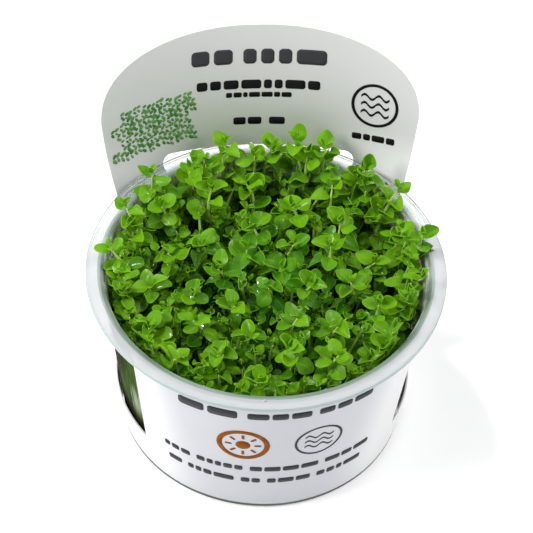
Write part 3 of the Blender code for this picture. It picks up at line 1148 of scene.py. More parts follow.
    def build(self, shop: Workshop) -> bpy.types.Object:
        """Shape the four panels, open the slot, join them and give the sheet its thickness.

        Args:
            shop: The workshop.

        Returns:
            The sleeve.
        """
        bm = bmesh.new()
        back = self.panel(
            bm, self.back_columns, self.card_heights(),
            lambda share, height: mix(-1.0, 1.0, share) * self.card_half_width(height))
        self.cut_slot(bm)
        for vert in back:
            if vert.is_valid:
                vert.co = self.card_point(vert.co.x, vert.co.y)
        half = self.card_half_width(self.window_bottom)
        edge = math.pi - half / self.band_radius(self.window_bottom)
        low = [self.band_bottom, *self.low_rows, self.window_bottom]
        tall = low + stations(self.window_bottom, self.band_top, 8)[1:]
        for start, end, columns, heights in (
                (self.window_left, self.window_right, self.front_columns, tall),
                (self.window_right, edge, self.side_columns, low),
                (-edge, self.window_left, self.side_columns, low)):
            panel = self.panel(bm, columns, heights, lambda share, height: mix(start, end, share))
            for vert in panel:
                vert.co = self.band_point(vert.co.x, vert.co.y)
        bmesh.ops.remove_doubles(bm, verts=bm.verts, dist=0.02)
        bmesh.ops.recalc_face_normals(bm, faces=bm.faces)
        front = min(bm.faces, key=lambda face: face.calc_center_median().y)
        if front.normal.y > 0.0:
            bmesh.ops.reverse_faces(bm, faces=bm.faces)
        board = [SleeveBoard("sleeve_board"), CutBoard("cut_board")]
        made = shop.piece("printed_sleeve", bm, board, Slot.CARD, ["label_sleeve"], 50.0)
        solidify = made.modifiers.new("Board", "SOLIDIFY")
        solidify.thickness = self.thickness * MM
        solidify.offset = 1.0
        solidify.use_even_offset = True
        solidify.material_offset_rim = 1
        bevel = made.modifiers.new("Edge", "BEVEL")
        bevel.width = self.edge_round * MM
        bevel.limit_method = "ANGLE"
        bevel.angle_limit = math.radians(60.0)
        bevel.harden_normals = True
        return made


class Ink(Enum):
    """The inks of the print, in the order of the print's material slots."""

    BLACK = 0
    GREY = 1
    BROWN = 2
    GREEN = 3
    MOSS = 4


INKS = (
    PrintInk("black_ink", (0.007, 0.007, 0.008), (0.018, 0.018, 0.019)),
    PrintInk("grey_ink", (0.050, 0.049, 0.055), (0.075, 0.075, 0.082)),
    PrintInk("brown_ink", (0.25, 0.070, 0.001), (0.29, 0.09, 0.004)),
    PrintInk("green_ink", (0.06, 0.24, 0.05), (0.12, 0.32, 0.09)),
    PrintInk("moss_ink", (0.14, 0.33, 0.08), (0.24, 0.42, 0.17)),
)


@dataclass(frozen=True)
class PrintLine:
    """A line of blocks: its height up the card, the blocks' height and each row's two ends."""

    middle: float
    height: float
    spans: tuple[Span, ...]


@dataclass(frozen=True)
class Badge:
    """A ring about a middle, with a sun of some reach in it or three waves a rise apart."""

    x: float
    y: float
    radius: float
    line: float
    sun: float = 0.0
    wave: float = 0.0
    wave_line: float = 0.0
    rise: float = 0.0


class FlatPrint:
    """Plain printed shapes, drawn flat and then laid onto the card's curve."""

    corner: float = 0.28
    gap: float = 0.26
    widths: tuple[float, ...] = (0.8, 1.1, 1.5, 2.0)
    oval: float = 1.3
    oval_sizes: Span = (0.7, 1.15)
    oval_turns: Span = (0.5, 1.1)
    film: float = 0.02

    def __init__(self) -> None:
        """Start an empty sheet."""
        self.bm = bmesh.new()

    def colour(self, verts: Iterable, ink: Ink) -> None:
        """Give the faces of some vertices their ink."""
        for face in {face for vert in verts for face in vert.link_faces}:
            face.material_index = ink.value

    def bar(self, left: float, right: float, middle: float, height: float, ink: Ink,
            tilt: float = 0.0) -> None:
        """Draw a bar with rounded corners.

        Args:
            left: Its left end.
            right: Its right end.
            middle: The height of its middle line.
            height: Its own height.
            ink: Its ink.
            tilt: Turn about its left end, in radians.
        """
        radius = self.corner * height
        turn = Matrix.Rotation(math.pi / 16.0, 4, "Z")
        verts = bmesh.ops.create_circle(self.bm, cap_ends=True, segments=16, radius=radius,
                                        matrix=turn)["verts"]
        for vert in verts:
            vert.co.x += left + radius if vert.co.x < 0.0 else right - radius
            vert.co.y += math.copysign(0.5 * height - radius, vert.co.y)
        turn = Matrix.Translation((left, middle, 0.0)) @ Matrix.Rotation(tilt, 4, "Z")
        turn = turn @ Matrix.Translation((-left, 0.0, 0.0))
        bmesh.ops.transform(self.bm, matrix=turn, verts=verts)
        self.colour(verts, ink)

    def row(self, left: float, right: float, middle: float, height: float, ink: Ink,
            seed: int) -> None:
        """Draw a row of blocks of mixed widths, with narrow gaps.

        Args:
            left: Its left end.
            right: Its right end.
            middle: The height of its middle line.
            height: The blocks' height.
            ink: Its ink.
            seed: Seed of the widths.
        """
        dice = random.Random(seed)
        gap = self.gap * height
        while left + height <= right:
            width = min(right - left, height * dice.choice(self.widths))
            if right - left - width < height + gap:
                width = right - left
            self.bar(left, left + width, middle, height, ink)
            left += width + gap

    def lines(self, lines: Iterable[PrintLine], ink: Ink, seed: int) -> None:
        """Draw lines of blocks in an ink; the seed goes up by one with each row.

        Args:
            lines: The lines.
            ink: Their ink.
            seed: Seed of the first row's widths.
        """
        for line in lines:
            for left, right in line.spans:
                self.row(left, right, line.middle, line.height, ink, seed)
                seed += 1

    def sprig(self, left: float, right: float, middle: float, slope: float, leaf: float,
              seed: int) -> None:
        """Draw a running sprig: ovals in pairs along a sloping, gently wavy line.

        Args:
            left: Its left end.
            right: Its right end.
            middle: Its height at its middle.
            slope: Its rise to the right.
            leaf: Half the ovals' length.
            seed: Seed of their sizes and inks.
        """
        dice = random.Random(seed)
        count = round((right - left) / (1.6 * leaf))
        for index in range(count):
            x = mix(left, right, (index + 0.25 * (seed % 4) + dice.uniform(-0.2, 0.2)) / count)
            y = middle + slope * (x - 0.5 * (left + right)) + 0.5 * math.sin(0.9 * x + seed)
            for side in (-1.0, 1.0):
                size = 0.72 * leaf * dice.uniform(*self.oval_sizes)
                turn = side * dice.uniform(*self.oval_turns)
                self.dot(x, y + side * 0.78 * leaf, size, self.oval, turn,
                         dice.choice((Ink.GREEN, Ink.MOSS, Ink.MOSS)))

    def ring(self, x: float, y: float, radius: float, line: float, ink: Ink) -> None:
        """Draw a ring of a given line width.

        Args:
            x: Its middle, across.
            y: Its middle, upwards.
            radius: Its outer radius.
            line: Width of its line.
            ink: Its ink.
        """
        place = Matrix.Translation((x, y, 0.0))
        made = bmesh.ops.create_circle(self.bm, cap_ends=True, segments=48, radius=radius,
                                       matrix=place)
        face = made["verts"][0].link_faces[0]
        bmesh.ops.inset_region(self.bm, faces=[face], thickness=line, use_boundary=True,
                               use_even_offset=True)
        self.colour(made["verts"], ink)
        bmesh.ops.delete(self.bm, geom=[face], context="FACES_ONLY")

    def dot(self, x: float, y: float, radius: float, stretch: float, turn: float, ink: Ink) -> None:
        """Draw an oval dot.

        Args:
            x: Its middle, across.
            y: Its middle, upwards.
            radius: Its mean radius.
            stretch: How oval it is.
            turn: Its turn, in radians.
            ink: Its ink.
        """
        place = (Matrix.Translation((x, y, 0.0)) @ Matrix.Rotation(turn, 4, "Z")
                 @ Matrix.Diagonal((stretch, 1.0 / stretch, 1.0, 1.0)))
        made = bmesh.ops.create_circle(self.bm, cap_ends=True, segments=10, radius=radius,
                                       matrix=place)
        self.colour(made["verts"], ink)

    def wave(self, x: float, y: float, length: float, line: float, ink: Ink) -> None:
        """Draw a wavy line about a middle point.

        Args:
            x: Its middle, across.
            y: Its middle, upwards.
            length: Its length.
            line: Width of its line.
            ink: Its ink.
        """
        made = bmesh.ops.create_grid(self.bm, x_segments=24, y_segments=1, size=0.5)
        for vert in made["verts"]:
            swing = 0.09 * length * math.sin(vert.co.x * 2.0 * math.tau)
            vert.co = (x + vert.co.x * length, y + vert.co.y * line + swing, 0.0)
        self.colour(made["verts"], ink)

    def sun(self, x: float, y: float, radius: float, ink: Ink) -> None:
        """Draw a disc with eight short rays.

        Args:
            x: Its middle, across.
            y: Its middle, upwards.
            radius: Reach of its rays.
            ink: Its ink.
        """
        self.dot(x, y, 0.42 * radius, 1.0, 0.0, ink)
        for ray in range(8):
            turn = ray * math.pi / 4.0
            start = Vector((x, y)) + 0.62 * radius * Vector((math.cos(turn), math.sin(turn)))
            self.bar(start.x, start.x + 0.38 * radius, start.y, 0.16 * radius, ink, turn)

    def badge(self, badge: Badge, ink: Ink) -> None:
        """Draw a badge.

        Args:
            badge: Its place and sizes.
            ink: Its ink.
        """
        self.ring(badge.x, badge.y, badge.radius, badge.line, ink)
        if badge.sun:
            self.sun(badge.x, badge.y, badge.sun, ink)
        if badge.wave:
            for rise in (-badge.rise, 0.0, badge.rise):
                self.wave(badge.x, badge.y + rise, badge.wave, badge.wave_line, ink)

    def lay(self, name: str, shop: Workshop,
            place: Callable[[float, float], Vector]) -> bpy.types.Object:
        """Cut the shapes into narrow strips, bend them onto the card and place them as a piece.

        Args:
            name: The piece's name.
            shop: The workshop.
            place: Gives a point of the card's face for a flat point.

        Returns:
            The new piece.
        """
        cuts = ((Vector((1.0, 0.0, 0.0)), 1.5, 48), (Vector((0.0, 1.0, 0.0)), 3.0, 24))
        for axis, step, limit in cuts:
            for index in range(-limit, limit + 1):
                everything = self.bm.verts[:] + self.bm.edges[:] + self.bm.faces[:]
                bmesh.ops.bisect_plane(self.bm, geom=everything, plane_co=axis * (index * step),
                                       plane_no=axis, dist=0.001)
        many_sided = [face for face in self.bm.faces if len(face.verts) > 4]
        bmesh.ops.triangulate(self.bm, faces=many_sided)
        for vert in self.bm.verts:
            vert.co = place(vert.co.x, vert.co.y)
        made = shop.piece(name, self.bm, INKS, Slot.CARD)
        film = made.modifiers.new("Film", "SOLIDIFY")
        film.thickness = self.film * MM
        film.offset = 0.0
        return made


@dataclass(frozen=True)
class SleevePrint:
    """The sleeve's plain, wordless print: bars, rings and dots in the usual inks."""

    sleeve: CardSleeve
    proud: float = 0.05
    card_heading: tuple[PrintLine, ...] = (PrintLine(28.4, 4.8, ((-19.5, -7.5), (-4.5, 19.5))),)
    card_lines: tuple[PrintLine, ...] = (
        PrintLine(19.4, 2.9, ((-18.0, 17.8),)), PrintLine(16.0, 1.6, ((-9.4, 9.6),)),
        PrintLine(7.4, 2.4, ((-7.2, 1.0), (3.2, 7.8))), PrintLine(4.6, 1.9, ((27.6, 40.4),)),
    )
    card_badge: Badge = Badge(34.0, 15.2, 7.0, 0.9, wave=8.4, wave_line=0.8, rise=2.6)
    sprig_rows: int = 7
    sprig_left: float = -43.6
    sprig_right: float = -17.0
    sprig_bottom: float = 3.2
    sprig_step: float = 2.1
    front_lines: tuple[PrintLine, ...] = (
        PrintLine(48.4, 3.6, ((-25.5, -9.5),)), PrintLine(48.4, 2.8, ((-7.0, 9.5), (11.5, 27.0))),
        PrintLine(21.4, 2.3, ((-32.0, -23.5), (-21.5, -8.0), (-6.0, 13.5), (15.5, 30.0))),
        PrintLine(15.2, 2.3, ((-31.0, -26.5), (-24.5, -10.5), (-8.5, -3.0), (-1.0, 11.5),
                              (13.5, 28.0))),
    )
    sun_badge: Badge = Badge(-8.0, 33.6, 7.2, 1.5, sun=4.9)
    wave_badge: Badge = Badge(12.6, 33.6, 6.8, 0.7, wave=8.0, wave_line=0.7, rise=2.4)

    def on_card(self, across: float, up: float) -> Vector:
        """Place a print point on the back card's inner face, by its distance up from the flange."""
        height = self.sleeve.cup.height + (up + 1.1) * math.cos(self.sleeve.lean)
        return self.sleeve.card_point(across, height, self.proud)

    def on_front(self, along: float, height: float) -> Vector:
        """Place a print point on the front panel's outer face, by its distance along the middle."""
        azimuth = along / self.sleeve.band_radius(30.0)
        return self.sleeve.band_point(azimuth, height, self.sleeve.thickness + self.proud)

    def build(self, shop: Workshop) -> None:
        """Print the back card and the front panel.

        Args:
            shop: The workshop.
        """
        card = FlatPrint()
        card.lines(self.card_lines, Ink.BLACK, 3)
        card.lines(self.card_heading, Ink.GREY, 1)
        card.badge(self.card_badge, Ink.BLACK)
        for row in range(self.sprig_rows):
            left = self.sprig_left + 1.1 * (3 * row % 4)
            right = self.sprig_right - 1.2 * (5 * row % 4)
            middle = self.sprig_bottom + self.sprig_step * row
            card.sprig(left, right, middle, 0.12, 0.86, 40 + row)
        card.lay("card_print", shop, self.on_card)

        front = FlatPrint()
        front.lines(self.front_lines, Ink.GREY, 11)
        front.badge(self.sun_badge, Ink.BROWN)
        front.badge(self.wave_badge, Ink.GREY)
        front.lay("front_print", shop, self.on_front)


@dataclass(frozen=True)
class GelBed:
    """The layer of gel on the cup's floor, with a raised edge where it meets the wall."""

    cup: ClearCup
    gap: float = 0.35
    top: float = 9.0
    meniscus: float = 0.3
    dip: float = 0.2

    def build(self, shop: Workshop) -> bpy.types.Object:
        """Spin the gel's section: a slight dip in the middle, and a raised edge at the wall.

        Args:
            shop: The workshop.

        Returns:
            The gel.
        """
        bottom = self.cup.floor + self.gap
        edge = self.cup.inner_radius(self.top) - self.gap
        low = self.cup.inner_radius(self.cup.straight_from) - 1.6
        middle = self.top - self.dip
        section = [(0.0, middle), (0.5 * edge, middle), (edge - 2.2, self.top - 0.15),
                   (edge - 0.8, self.top), (edge, self.top + self.meniscus), (edge - 0.1, 5.0),
                   (low + 0.6, bottom + 0.8), (low, bottom), (0.5 * low, bottom), (0.0, bottom)]
        return shop.piece("gel_bed", turn_section(section, 96), [NutrientGel("nutrient_gel")],
                          Slot.GEL, ["growth_medium"])


# Plants


@dataclass(frozen=True)
class Bounds:
    """The room that plants may fill: inside the cup, over its rim, and in front of the card."""

    cup: ClearCup
    sleeve: CardSleeve
    wall_gap: float = 0.35
    front_reach: float = 41.8
    front_give: float = 2.2
    front_from: Span = (4.0, -18.0)
    front_lift: float = 0.6
    rim_lift: float = 0.25
    rim_depth: float = 2.6
    card_from: float = 40.0
    card_gap: float = 0.7

    def keep(self, point: Vector) -> Vector:
        """Move a point that would touch the cup's wall, its rim or the card clear of it.

        Args:
            point: A point of a plant.

        Returns:
            The point, turned up where it leans over the front of the rim.
        """
        radius = point.xy.length
        over = radius - self.front_reach
        if over > 0.0:
            eased = over / (1.0 + over / self.front_give)
            inward = smooth(*self.front_from, point.y) * (over - eased)
            share = (radius - inward) / radius
            point = Vector((point.x * share, point.y * share, point.z + self.front_lift * inward))
            radius -= inward
        limit = self.cup.inner_radius(min(point.z, self.cup.step_height)) - self.wall_gap
        rim = self.cup.height + self.rim_lift
        if point.z < rim and radius > limit:
            if point.z > rim - self.rim_depth:
                point = Vector((point.x, point.y, rim))
            else:
                point = Vector((point.x * limit / radius, point.y * limit / radius, point.z))
        if point.y > self.card_from and point.z > self.sleeve.leans_from:
            face = self.sleeve.card_point(point.x, point.z).y - self.card_gap
            point = Vector((point.x, min(point.y, face), point.z))
        return point


class Detail(Enum):
    """How finely a leaf is made: cells along and across it."""

    FINE = (7, 6)
    CLOSE = (5, 4)
    PLAIN = (4, 3)


@dataclass(frozen=True)
class Leaf:
    """One leaf, round to egg-shaped and cupped, bent, folded and wavy."""

    base: Vector
    azimuth: float
    rise: float
    length: float
    width: float
    roll: float
    cupped: float
    bent: float
    folded: float
    wavy: float
    pointed: float
    tone: float
    detail: Detail
    stalk: float = 0.09
    stalk_end: float = 0.36
    narrowing: float = 0.45

    def surface(self, x: float, y: float) -> Vector:
        """Place a point of the leaf from a square's coordinates, -1 to 1.

        Args:
            x: Place along the leaf.
            y: Place across it.

        Returns:
            The point in the leaf's own axes: along, across and up.
        """
        along = x * math.sqrt(1.0 - 0.5 * y * y)
        across = y * math.sqrt(1.0 - 0.5 * x * x)
        share = 0.5 * (along + 1.0)
        pinch = 1.0 - smooth(0.0, self.stalk_end, share)
        taper = 1.0 - self.narrowing * pinch
        taper *= 1.0 - self.pointed * smooth(0.45, 1.0, share)
        half = 0.5 * self.width * across * taper
        angle = self.bent * share
        reach = self.length * mix(self.stalk, 1.0, share)
        outward = reach * (1.0 - angle * angle / 6.0)
        ripple = self.wavy * math.sin(3.0 * math.atan2(across, along) + 9.0 * self.tone)
        lift = self.length * (1.0 - pinch) * (
            self.cupped * across * across + self.folded * abs(across)
            + ripple * (along * along + across * across)) - 0.5 * reach * angle
        return Vector((outward, half * (1.0 - 0.35 * abs(self.cupped) * abs(across)), lift))

    def grow(self, bm: bmesh.types.BMesh) -> None:
        """Add the leaf as an open sheet.

        Args:
            bm: The mesh that takes it, with the tone and UV layers.
        """
        columns, rows = self.detail.value
        grid = bmesh.ops.create_grid(bm, x_segments=columns, y_segments=rows, size=1.0,
                                     calc_uvs=True)
        stand = (Matrix.Translation(self.base) @ Matrix.Rotation(self.azimuth, 4, "Z")
                 @ Matrix.Rotation(-self.rise, 4, "Y") @ Matrix.Rotation(self.roll, 4, "X"))
        tone = bm.verts.layers.float[TONE_NAME]
        for vert in grid["verts"]:
            vert.co = stand @ self.surface(vert.co.x, vert.co.y)
            vert[tone] = self.tone


@dataclass(frozen=True)
class Pair:
    """A pair of opposite leaves: its share of the stem, turn and rise in degrees, and size."""

    share: float
    turn: float
    rise: float
    size: float


class Growth(Enum):
    """The kinds of plantlet, each by its pairs of leaves from the tip down."""

    SHOOT = (
        Pair(1.04, 90.0, 62.0, 0.55), Pair(0.96, 0.0, 32.0, 0.98), Pair(0.80, 90.0, 16.0, 1.0),
        Pair(0.60, 0.0, 8.0, 1.1), Pair(0.26, 90.0, -2.0, 1.0))
    STEM = tuple(Pair(0.93 - 0.13 * step, 90.0 * (step % 2), 6.0, 0.95 - 0.06 * step)
                 for step in range(6))
    BUSHY = (
        Pair(1.03, 90.0, 60.0, 0.50), Pair(0.97, 0.0, 30.0, 0.85), Pair(0.87, 90.0, 12.0, 1.05),
        Pair(0.72, 0.0, 4.0, 1.0), Pair(0.53, 90.0, 4.0, 0.85), Pair(0.32, 0.0, 10.0, 0.7))
    RUNNER = (
        Pair(1.01, 0.0, 60.0, 0.45), Pair(0.985, 90.0, 30.0, 0.85), Pair(0.84, 0.0, 14.0, 1.1),
        Pair(0.60, 90.0, 4.0, 1.1))
    LEAFY = (
        Pair(1.03, 90.0, 58.0, 0.50), Pair(0.97, 0.0, 30.0, 0.88), Pair(0.90, 90.0, 12.0, 1.0),
        Pair(0.80, 0.0, 6.0, 1.05), Pair(0.67, 90.0, 2.0, 1.0), Pair(0.48, 0.0, 6.0, 0.9))
    LEGGY = (
        Pair(1.02, 0.0, 64.0, 0.42), Pair(0.985, 90.0, 38.0, 0.72), Pair(0.85, 0.0, 16.0, 1.0),
        Pair(0.64, 90.0, 4.0, 1.1), Pair(0.42, 0.0, 6.0, 0.8))


@dataclass(frozen=True)
class Habit:
    """How leaves vary: turns in degrees, and forms in shares of a leaf's length."""

    swing: Span = (-14.0, 14.0)
    turn: Span = (-10.0, 10.0)
    rise: Span = (-28.0, 30.0)
    roll: Span = (-30.0, 30.0)
    width: Span = (0.68, 0.88)
    cupped: Span = (-0.20, 0.38)
    bent: Span = (-0.4, 1.1)
    folded: Span = (-0.02, 0.14)
    wavy: Span = (0.0, 0.07)
    pointed: Span = (0.0, 0.42)
    tone: Span = (-0.14, 0.14)
    size: float = 0.12
    upright_width: float = 0.62


def plant_mesh() -> bmesh.types.BMesh:
    """Start a mesh with the layers that plants use."""
    bm = bmesh.new()
    bm.loops.layers.uv.new(UV_NAME)
    bm.verts.layers.float.new(TONE_NAME)
    return bm


@dataclass(frozen=True)
class Plantlet:
    """A stem with crossed pairs of round leaves."""

    foot: Vector
    tip: Vector
    turn: float
    leaf: float
    growth: Growth
    thickness: Span
    tones: Span
    detail: Detail
    seed: int
    looseness: float = 1.0
    bow: Vector = Vector((0.0, 0.0, 0.0))
    curl: float = 1.5
    habit: Habit = Habit()
    blade: float = 0.16
    stem_step: float = 3.2
    stem_end: float = 0.45

    def place(self, share: float) -> Vector:
        """Find a point of the stem, which leaves its foot upright, bows and leans towards the tip.

        Args:
            share: Share of the stem, from its foot.

        Returns:
            The point.
        """
        lean = max(0.0, share) ** self.curl
        bulge = math.sin(math.pi * min(1.0, max(0.0, share)))
        return Vector((mix(self.foot.x, self.tip.x, lean), mix(self.foot.y, self.tip.y, lean),
                       mix(self.foot.z, self.tip.z, share))) + bulge * self.bow

    def leaf_of(self, dice: random.Random, pair: Pair, azimuth: float) -> Leaf:
        """Describe one leaf of a pair.

        Args:
            dice: Source of what makes it differ.
            pair: The pair.
            azimuth: Its direction, before it is turned a little.

        Returns:
            The leaf.
        """
        habit, loose = self.habit, self.looseness
        size = self.leaf * pair.size * (1.0 + habit.size * loose * dice.uniform(-1.0, 1.0))
        slim = mix(1.0, habit.upright_width, smooth(30.0, 60.0, pair.rise))
        return Leaf(
            base=self.place(pair.share),
            azimuth=azimuth + math.radians(dice.uniform(*habit.turn)) * loose,
            rise=math.radians(pair.rise + dice.uniform(*habit.rise) * loose),
            length=size,
            width=size * slim * dice.uniform(*habit.width),
            roll=math.radians(dice.uniform(*habit.roll)) * loose,
            cupped=dice.uniform(*habit.cupped),
            bent=dice.uniform(*habit.bent),
            folded=dice.uniform(*habit.folded),
            wavy=dice.uniform(*habit.wavy),
            pointed=dice.uniform(*habit.pointed),
            tone=mix(*self.tones, max(0.0, pair.share)) + dice.uniform(*habit.tone),
            detail=self.detail,
        )

    def add_stem(self, plant: bmesh.types.BMesh) -> None:
        """Add the stem, with its own finish and with tones from foot to tip.

        Args:
            plant: The mesh, with the leaves.
        """
        leaves = len(plant.faces)
        length = (self.tip - self.foot).length
        shares = stations(0.0, 1.0, max(3, round(length / self.stem_step)))
        radii = [0.5 * mix(*self.thickness, share) for share in shares]
        radii[-1] *= self.stem_end
        tone = plant.verts.layers.float[TONE_NAME]
        for vert in sweep(plant, [self.place(share) for share in shares], radii, 6):
            share = (vert.co.z - self.foot.z) / max(1.0, self.tip.z - self.foot.z)
            vert[tone] = mix(*self.tones, share)
        plant.faces.ensure_lookup_table()
        for face in plant.faces[leaves:]:
            face.material_index = 1

    def grow(self, bm: bmesh.types.BMesh, bounds: Bounds) -> None:
        """Add the plantlet to a mesh, kept clear of the cup and the card.

        Args:
            bm: The mesh that takes it, with the tone and UV layers.
            bounds: The room that it may fill.
        """
        dice = random.Random(self.seed)
        plant = plant_mesh()
        for pair in self.growth.value:
            swing = math.radians(dice.uniform(*self.habit.swing)) * self.looseness
            for side in (0.0, math.pi):
                azimuth = self.turn + math.radians(pair.turn) + side + swing
                self.leaf_of(dice, pair, azimuth).grow(plant)
        for vert in plant.verts:
            vert.co = bounds.keep(vert.co)
        bmesh.ops.solidify(plant, geom=plant.faces[:], thickness=self.blade)
        self.add_stem(plant)
        mesh = bpy.data.meshes.new("plant")
        plant.to_mesh(mesh)
        plant.free()
        bm.from_mesh(mesh)
        bpy.data.meshes.remove(mesh)


@dataclass(frozen=True)
class Carpet:
    """All plantlets: the standing ones that are CAD nodes, and the dense ones between them.

    A row of `tall` holds a foot's x and y, a tip's x, y and z, a turn in degrees and a leaf length.
    """

    cup: ClearCup
    bounds: Bounds
    surface_height: float = 47.5
    surface_waves: float = 1.1
    back_drop: float = 4.0
    gel_top: float = 8.0
    sites: int = 42
    site_radius: float = 40.5
    site_phase: float = math.radians(355.0)
    spacing_to_tall: float = 8.8
    tip_height: float = 57.0
    tip_steps: float = 1.6
    tip_outward: float = 0.07
    tip_drop: float = 2.0
    tip_leaf: Span = (5.5, 0.5)
    least_leaf: float = 5.3
    least_at_back: float = 1.0
    filler_count: int = 300
    filler_radius: float = 42.0
    filler_phase: float = 0.6
    filler_spacing: float = 2.0
    filler_above: Span = (-3.5, 6.0)
    filler_above_back: Span = (-1.0, 8.0)
    filler_bow: Span = (-1.8, 1.8)
    filler_leaf: Span = (3.2, 5.9)
    leans: tuple[Span, ...] = ((2.5, 1.5), (3.5, 1.5), (7.5, 3.5))
    runner_leaf: float = 4.4
    runner_above: float = 6.0
    tip_gap: float = 1.6
    rim_count: int = 40
    rim_reach: float = 40.8
    rim_give: Span = (-2.5, 0.6)
    rim_above: Span = (-4.0, 0.5)
    rim_rise: float = 6.0
    rim_drop: float = 2.8
    rim_leaf: Span = (4.6, 5.8)
    side_count: int = 21
    side_span: Span = (-0.70, 0.85)
    side_give: Span = (-1.6, 1.2)
    side_above: Span = (-2.0, 4.0)
    side_leaf: Span = (5.4, 7.0)
    wall_foot: float = 0.9
    sectors: int = 6
    tall: tuple[tuple[float, ...], ...] = (
        (-27.5, 26.5, -31.0, 30.0, 62.5, 20.0, 4.6),
        (-35.5, 15.0, -38.5, 18.5, 61.5, -15.0, 4.4),
        (-25.0, 17.5, -28.5, 20.5, 59.5, 60.0, 5.2),
        (-17.5, 32.5, -18.5, 37.0, 60.0, -30.0, 5.2),
        (-8.5, 37.0, -10.0, 42.0, 62.0, 15.0, 4.2),
        (-13.0, 24.0, -14.5, 27.0, 59.5, 80.0, 5.6),
        (-3.5, 28.5, -4.0, 32.0, 56.5, 40.0, 4.4),
        (3.0, 36.5, 3.5, 41.5, 61.5, 0.0, 3.7),
        (11.0, 36.0, 10.5, 41.0, 64.0, -10.0, 3.7),
        (19.0, 34.5, 19.0, 39.5, 62.5, 10.0, 3.8),
        (19.5, 24.5, 20.5, 29.0, 58.5, 55.0, 5.6),
        (28.0, 27.0, 30.0, 31.0, 62.0, 20.0, 5.0),
        (34.5, 20.0, 38.5, 24.0, 61.0, -10.0, 3.8),
        (38.5, 5.0, 43.5, 5.5, 61.5, 5.0, 4.6),
        (37.5, -8.0, 42.0, -9.0, 60.0, -15.0, 4.4),
        (-38.5, 3.0, -43.0, 3.5, 61.0, 10.0, 4.6),
    )

    def surface(self, x: float, y: float) -> float:
        """Height of the top of the dense carpet, which is lower towards the back card."""
        waves = self.surface_waves * math.sin(0.31 * x + 0.4) * math.cos(0.27 * y - 0.3)
        return self.surface_height + waves - self.back_drop * smooth(16.0, 40.0, y)

    def standing(self) -> list[tuple[Vector, Vector, float, float]]:
        """List the standing plantlets' feet, tips, turns and leaf lengths, in node order."""
        found = [(Vector((fx, fy, self.surface(fx, fy))), Vector((tx, ty, tz)),
                  math.atan2(fy, fx) + math.radians(turn), leaf)
                 for fx, fy, tx, ty, tz, turn, leaf in self.tall]
        tall = [foot.xy for foot, _, _, _ in found]
        sites = spread(self.sites, self.site_radius, self.site_phase)
        for index, (radius, angle) in enumerate(sites):
            x, y = radius * math.cos(angle), radius * math.sin(angle)
            if any((Vector((x, y)) - other).length < self.spacing_to_tall for other in tall):
                continue
            outward = 1.0 + self.tip_outward * radius / self.site_radius
            height = self.tip_height + self.tip_steps * (index % 3 - 1)
            height -= self.tip_drop * smooth(24.0, 40.0, y)
            leaf = self.tip_leaf[0] + self.tip_leaf[1] * math.sin(2.4 * index)
            freedom = 1.0 - 0.9 * smooth(22.0, 34.0, radius)
            turn = angle + (1.9 * index % math.tau - math.pi) * freedom
            found.append((Vector((x, y, self.surface(x, y))),
                          Vector((x * outward, y * outward, height)), turn, leaf))
        return found

    def shoot(self, index: int, foot: Vector, tip: Vector, turn: float, leaf: float) -> Plantlet:
        """Describe a standing plantlet above the dense part.

        Args:
            index: Its number.
            foot: Where it comes out of the dense part.
            tip: Its tip.
            turn: Its turn, in radians.
            leaf: Its leaf length.

        Returns:
            The plantlet.
        """
        least = self.least_leaf + self.least_at_back * smooth(10.0, 34.0, foot.y)
        grown = max(least, leaf * 1.06)
        return Plantlet(foot - 0.5 * UP, tip, turn, grown, Growth.SHOOT, (1.15, 0.8), (0.55, 0.95),
                        Detail.FINE, 100 + index, 0.7, 2.0 * polar(1.0, 2.7 * index))

    def undergrowth(self, index: int, foot: Vector, leaf: float) -> Plantlet:
        """Describe the part of a standing plantlet's stem that is down in the carpet.

        Args:
            index: Its number.
            foot: The standing part's foot.
            leaf: Its leaf length.

        Returns:
            The plantlet.
        """
        root = Vector((foot.x * 0.94, foot.y * 0.94, self.gel_top))
        return Plantlet(root, foot, 1.7 * index, leaf * 0.95, Growth.STEM, (1.0, 1.1), (0.05, 0.5),
                        Detail.PLAIN, 300 + index)

    def fillers(self, standing: Sequence[Vector]) -> list[Plantlet]:
        """Describe the plantlets between the standing ones.

        Args:
            standing: The feet of the standing plantlets.

        Returns:
            The plantlets, in the order of their places.
        """
        dice = random.Random(5)
        limit = self.cup.inner_radius(self.cup.step_height) - self.tip_gap
        found = []
        places = spread(self.filler_count, self.filler_radius, self.filler_phase)
        for index, (radius, angle) in enumerate(places):
            top = polar(radius, angle)
            foot = Vector((0.93 * top.x, 0.93 * top.y, self.gel_top))
            behind = smooth(14.0, 34.0, top.y)
            above = dice.uniform(*self.filler_above)
            above += behind * dice.uniform(*self.filler_above_back)
            (out, curl), way = dice.choice(self.leans), dice.uniform(0.0, math.tau)
            lean = out * polar(1.0, way)
            bow = Vector((dice.uniform(*self.filler_bow), dice.uniform(*self.filler_bow), 0.0))
            turn, leaf = dice.uniform(0.0, math.tau), dice.uniform(*self.filler_leaf)
            if any((top.xy - other.xy).length < self.filler_spacing for other in standing):
                continue
            growth = Growth.LEGGY if index % 5 in (1, 3) else Growth.BUSHY
            if index % 6 == 4:
                growth, leaf, lean = Growth.RUNNER, min(leaf, self.runner_leaf), 1.5 * lean
                above = 0.5 * above + self.runner_above
            tip = top + lean + Vector((0.0, 0.0, self.surface(top.x, top.y) + above))
            found.append(Plantlet(foot, held_in(tip, limit), turn, leaf, growth, (1.05, 0.8),
                                  (-0.1, 0.85), Detail.CLOSE, 600 + index, 1.0, bow, curl))
        return found

